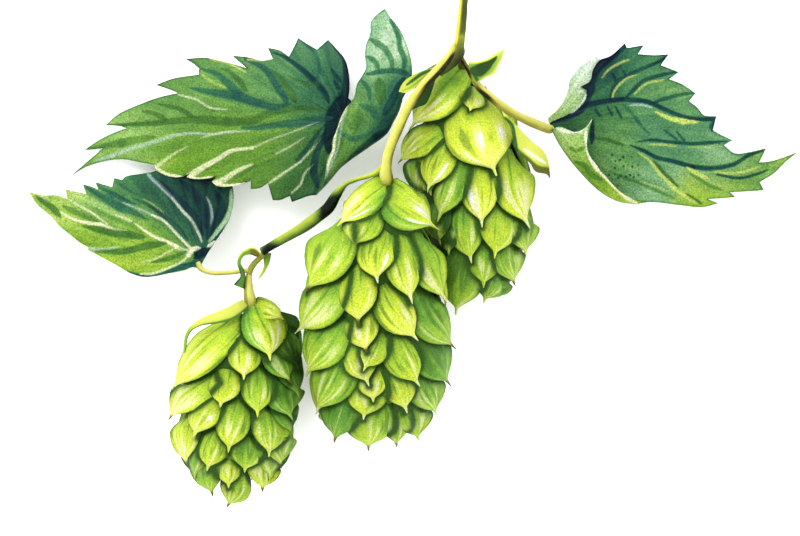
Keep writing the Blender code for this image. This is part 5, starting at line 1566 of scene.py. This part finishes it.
sprout("wing_bract", [
    (17.7, 27.2), (18.9, 25.9), (20.75, 24.05), (23.7, 21.1), (25.85, 19.3), (26.75, 17.5),
    (27.3, 13.8), (26.8, 14.5), (24.4, 15.2), (23.4, 16.7), (22.0, 18.0), (20.4, 19.4),
    (19.9, 21.9), (19.2, 24.4), (18.1, 26.0)],
       wing_height, [(18.5, 25.9, 0.1), (21.5, 22.3, 0.16), (25.0, 19.4, 0.08), (26.9, 16.5, 0.2)],
       [("olive", 1.0, 0.9, 1.1, [(20.1, 19.1), (22.2, 17.3), (24.3, 15.4), (26.8, 14.9)]),
        ("brown", 0.6, 0.7, 0.9, [(20.9, 18.4), (22.6, 17.2), (24.5, 15.6), (26.8, 14.9)]),
        ("dark", 0.9, 0.35, 0.3, [(18.2, 26.0), (19.6, 24.3), (20.1, 21.9), (20.5, 19.5)]),
        ("white", 1.0, 0.26, 0.3, [(21.9, 19.7), (23.9, 18.3), (26.2, 16.9)]),
        ("brown", 0.9, 0.3, 0.35, [(27.0, 15.3), (27.2, 14.0)])], "bract", "cone_right_wing_bract")

# ---------------------------------------------------------------- stipules
# Small papery pieces at the nodes: two blades and a third painted dark for shade at the main node, and a
# hanging scale and a curled ribbon where the left cone's stalk leaves the shoot.
def level_of(base, across, lengthways):
    """A flat height, tilted across and lengthways."""
    return lambda flat: base + across * flat[:, 0] + lengthways * flat[:, 1]


sprout("left_node_stipule", [
    (4.4, 36.1), (2.6, 35.55), (0.0, 34.45), (-1.8, 33.2), (-2.5, 32.2), (-2.95, 31.1),
    (-2.2, 30.9), (-1.4, 30.9), (0.0, 31.7), (1.2, 32.8), (3.0, 34.5)],
       level_of(20.1, 0.06, 0.0), [(3.0, 35.3, 0.25), (0.0, 33.4, 0.22), (-2.2, 31.8, 0.12)],
       [("dark", 0.9, 0.32, 0.3, [(3.6, 35.5), (1.6, 34.6), (0.2, 33.6), (-1.4, 32.4)]),
        ("olive", 0.5, 0.18, 0.14, [(3.0, 34.6), (1.0, 33.1), (-0.6, 31.9), (-2.4, 31.2)])],
       "stipule", "stipule_node_left")
sprout("right_node_stipule", [
    (10.9, 36.95), (12.6, 37.1), (14.2, 37.5), (16.75, 38.95), (18.2, 39.6), (17.6, 37.6),
    (16.9, 36.2), (16.2, 34.8), (14.2, 33.7), (12.75, 32.75), (11.95, 33.7), (11.3, 35.3)],
       level_of(20.5, 0.12, 0.0), [(11.6, 36.2, 0.5), (14.0, 35.6, 0.66), (16.6, 36.6, 0.42),
                                   (17.6, 38.9, 0.2), (15.6, 34.8, 0.4), (12.9, 33.4, 0.5)],
       [("light", 1.0, 0.25, 0.2, [(11.2, 36.8), (14.2, 37.3), (16.8, 38.75), (18.0, 39.4)]),
        ("dark", 1.0, 0.7, 0.4, [(11.8, 35.2), (13.6, 36.2), (15.4, 36.9), (16.6, 38.0)]),
        ("dark", 0.95, 0.8, 0.35, [(12.2, 35.3), (13.2, 34.8), (14.6, 35.7), (15.8, 36.7)]),
        ("dark", 0.8, 0.3, 0.3, [(11.7, 35.6), (12.2, 34.2), (12.9, 33.2)]),
        ("light", 0.7, 0.22, 0.2, [(13.0, 33.0), (14.3, 33.9), (16.1, 35.0), (17.3, 37.4)])],
       "stipule", "stipule_node_right")
# The inner stipule is a dark sheet that paints the shade between the lateral and the right cone.
sprout("inner_node_stipule", [
    (6.6, 36.3), (5.6, 35.6), (4.6, 34.0), (3.6, 31.0), (2.4, 28.6), (1.2, 28.1),
    (-0.2, 27.5), (0.7, 29.4), (1.8, 31.4), (3.4, 33.4), (5.0, 35.3), (6.0, 36.4)],
       level_of(19.8, -0.1, 0.0), [(5.8, 35.8, 0.9), (3.2, 31.6, 0.86), (0.8, 28.4, 0.84)],
       [("brown", 0.5, 0.4, 0.3, [(6.2, 36.0), (4.6, 34.4), (3.4, 32.4)])],
       "stipule", "stipule_node_inner")
sprout("hanging_stipule", [
    (-29.9, -1.4), (-29.1, -1.1), (-28.35, -1.1), (-28.7, -2.9), (-29.5, -4.6), (-30.3, -5.8),
    (-31.25, -6.5), (-30.65, -5.4), (-30.1, -4.3), (-29.9, -3.2), (-30.0, -2.4)],
       level_of(15.5, 0.0, 0.12), [(-29.2, -1.6, 0.62), (-29.2, -3.2, 0.46), (-30.3, -5.4, 0.3)],
       [("light", 0.9, 0.18, 0.14, [(-30.0, -3.6), (-30.4, -4.9), (-31.1, -6.3)])],
       "stipule", "stipule_hanging")


def curl_shade(u, v):
    """Brown down its narrow stem, bright on its upper edge, dark-rimmed where it flares."""
    stem = 1.0 - step_up(u, 0.2, 0.27)
    rim = step_up(np.abs(v), 0.5, 0.8)
    edge = step_up(v, 0.2, 0.6) * (1.0 - step_up(u, 0.4, 0.5))
    flare = step_up(u, 0.52, 0.62)
    shade = 0.55 + 0.12 * flare + 0.2 * rim * flare - 0.38 * edge + 0.3 * stem * rim * (v < 0.0)
    return {"shade": np.clip(shade, 0.0, 1.0), "brown": stem * (1.0 - rim) * 0.9, "pale": 0.0 * u}


ribbon("curled_stipule", [
    (-30.9, -1.7, 17.5, 0.35), (-31.2, -1.3, 17.7, 0.62), (-32.1, -0.75, 17.85, 0.75),
    (-33.15, -0.85, 17.85, 0.58), (-34.1, -1.35, 17.7, 0.45), (-34.7, -2.3, 17.5, 0.34),
    (-34.8, -3.4, 17.3, 0.34), (-34.35, -4.4, 17.1, 0.42), (-34.1, -5.4, 17.0, 0.45),
    (-34.1, -6.2, 16.9, 0.6), (-34.5, -7.2, 16.8, 0.95), (-34.8, -7.9, 16.75, 1.2)],
       curl_shade, "stipule", "stipule_curled", dish=0.2)

# ---------------------------------------------------------------- setting
# A plain near-white table, soft daylight all round, and a large soft lamp from the upper
# left; the camera looks straight down on the sprig from high above.
WHITE = (1.0, 1.0, 1.0, 1.0)
TABLE_HALF = 2.0
table_data = bpy.data.meshes.new("table")
table_corners = [(x * TABLE_HALF, y * TABLE_HALF, 0.0) for x, y in ((-1, -1), (1, -1), (1, 1), (-1, 1))]
table_data.from_pydata(table_corners, [], [(0, 1, 2, 3)])
table = bpy.data.objects.new("table", table_data)
bpy.context.scene.collection.objects.link(table)
table_finish, _, table_shader = plant_finish("table_finish", roughness=0.9)
table_shader.inputs["Base Color"].default_value = WHITE
table_shader.inputs["Specular IOR Level"].default_value = 0.0
table_data.materials.append(table_finish)

DAYLIGHT = 2.3
world = bpy.data.worlds.new("daylight")
world.use_nodes = True
sky = world.node_tree.nodes["Background"]
sky.inputs["Color"].default_value = WHITE
sky.inputs["Strength"].default_value = DAYLIGHT
bpy.context.scene.world = world

LAMP_WIDTH = 0.5
LAMP_POWER = 6.5
LAMP_PLACE = Vector((-0.35, 0.45, 0.75))
lamp_data = bpy.data.lights.new("softbox", "AREA")
lamp_data.shape = "DISK"
lamp_data.size = LAMP_WIDTH
lamp_data.energy = LAMP_POWER
lamp = bpy.data.objects.new("softbox", lamp_data)
bpy.context.scene.collection.objects.link(lamp)
lamp.location = LAMP_PLACE
lamp.rotation_euler = (-LAMP_PLACE).to_track_quat("-Z", "Y").to_euler()

VISIBLE_WIDTH = 0.160
VIEW_CENTRE = (-0.0027, -0.0041)
FOCUS_HEIGHT = 0.010
SENSOR = 36.0
LENS = 1000.0
camera_data = bpy.data.cameras.new("camera")
camera_data.sensor_width = SENSOR
camera_data.lens = LENS
camera_data.clip_start = 0.1
camera_data.clip_end = 20.0
camera = bpy.data.objects.new("camera", camera_data)
bpy.context.scene.collection.objects.link(camera)
camera.location = (*VIEW_CENTRE, FOCUS_HEIGHT + VISIBLE_WIDTH * LENS / SENSOR)
bpy.context.scene.camera = camera
bpy.context.scene.view_settings.view_transform = "Standard"
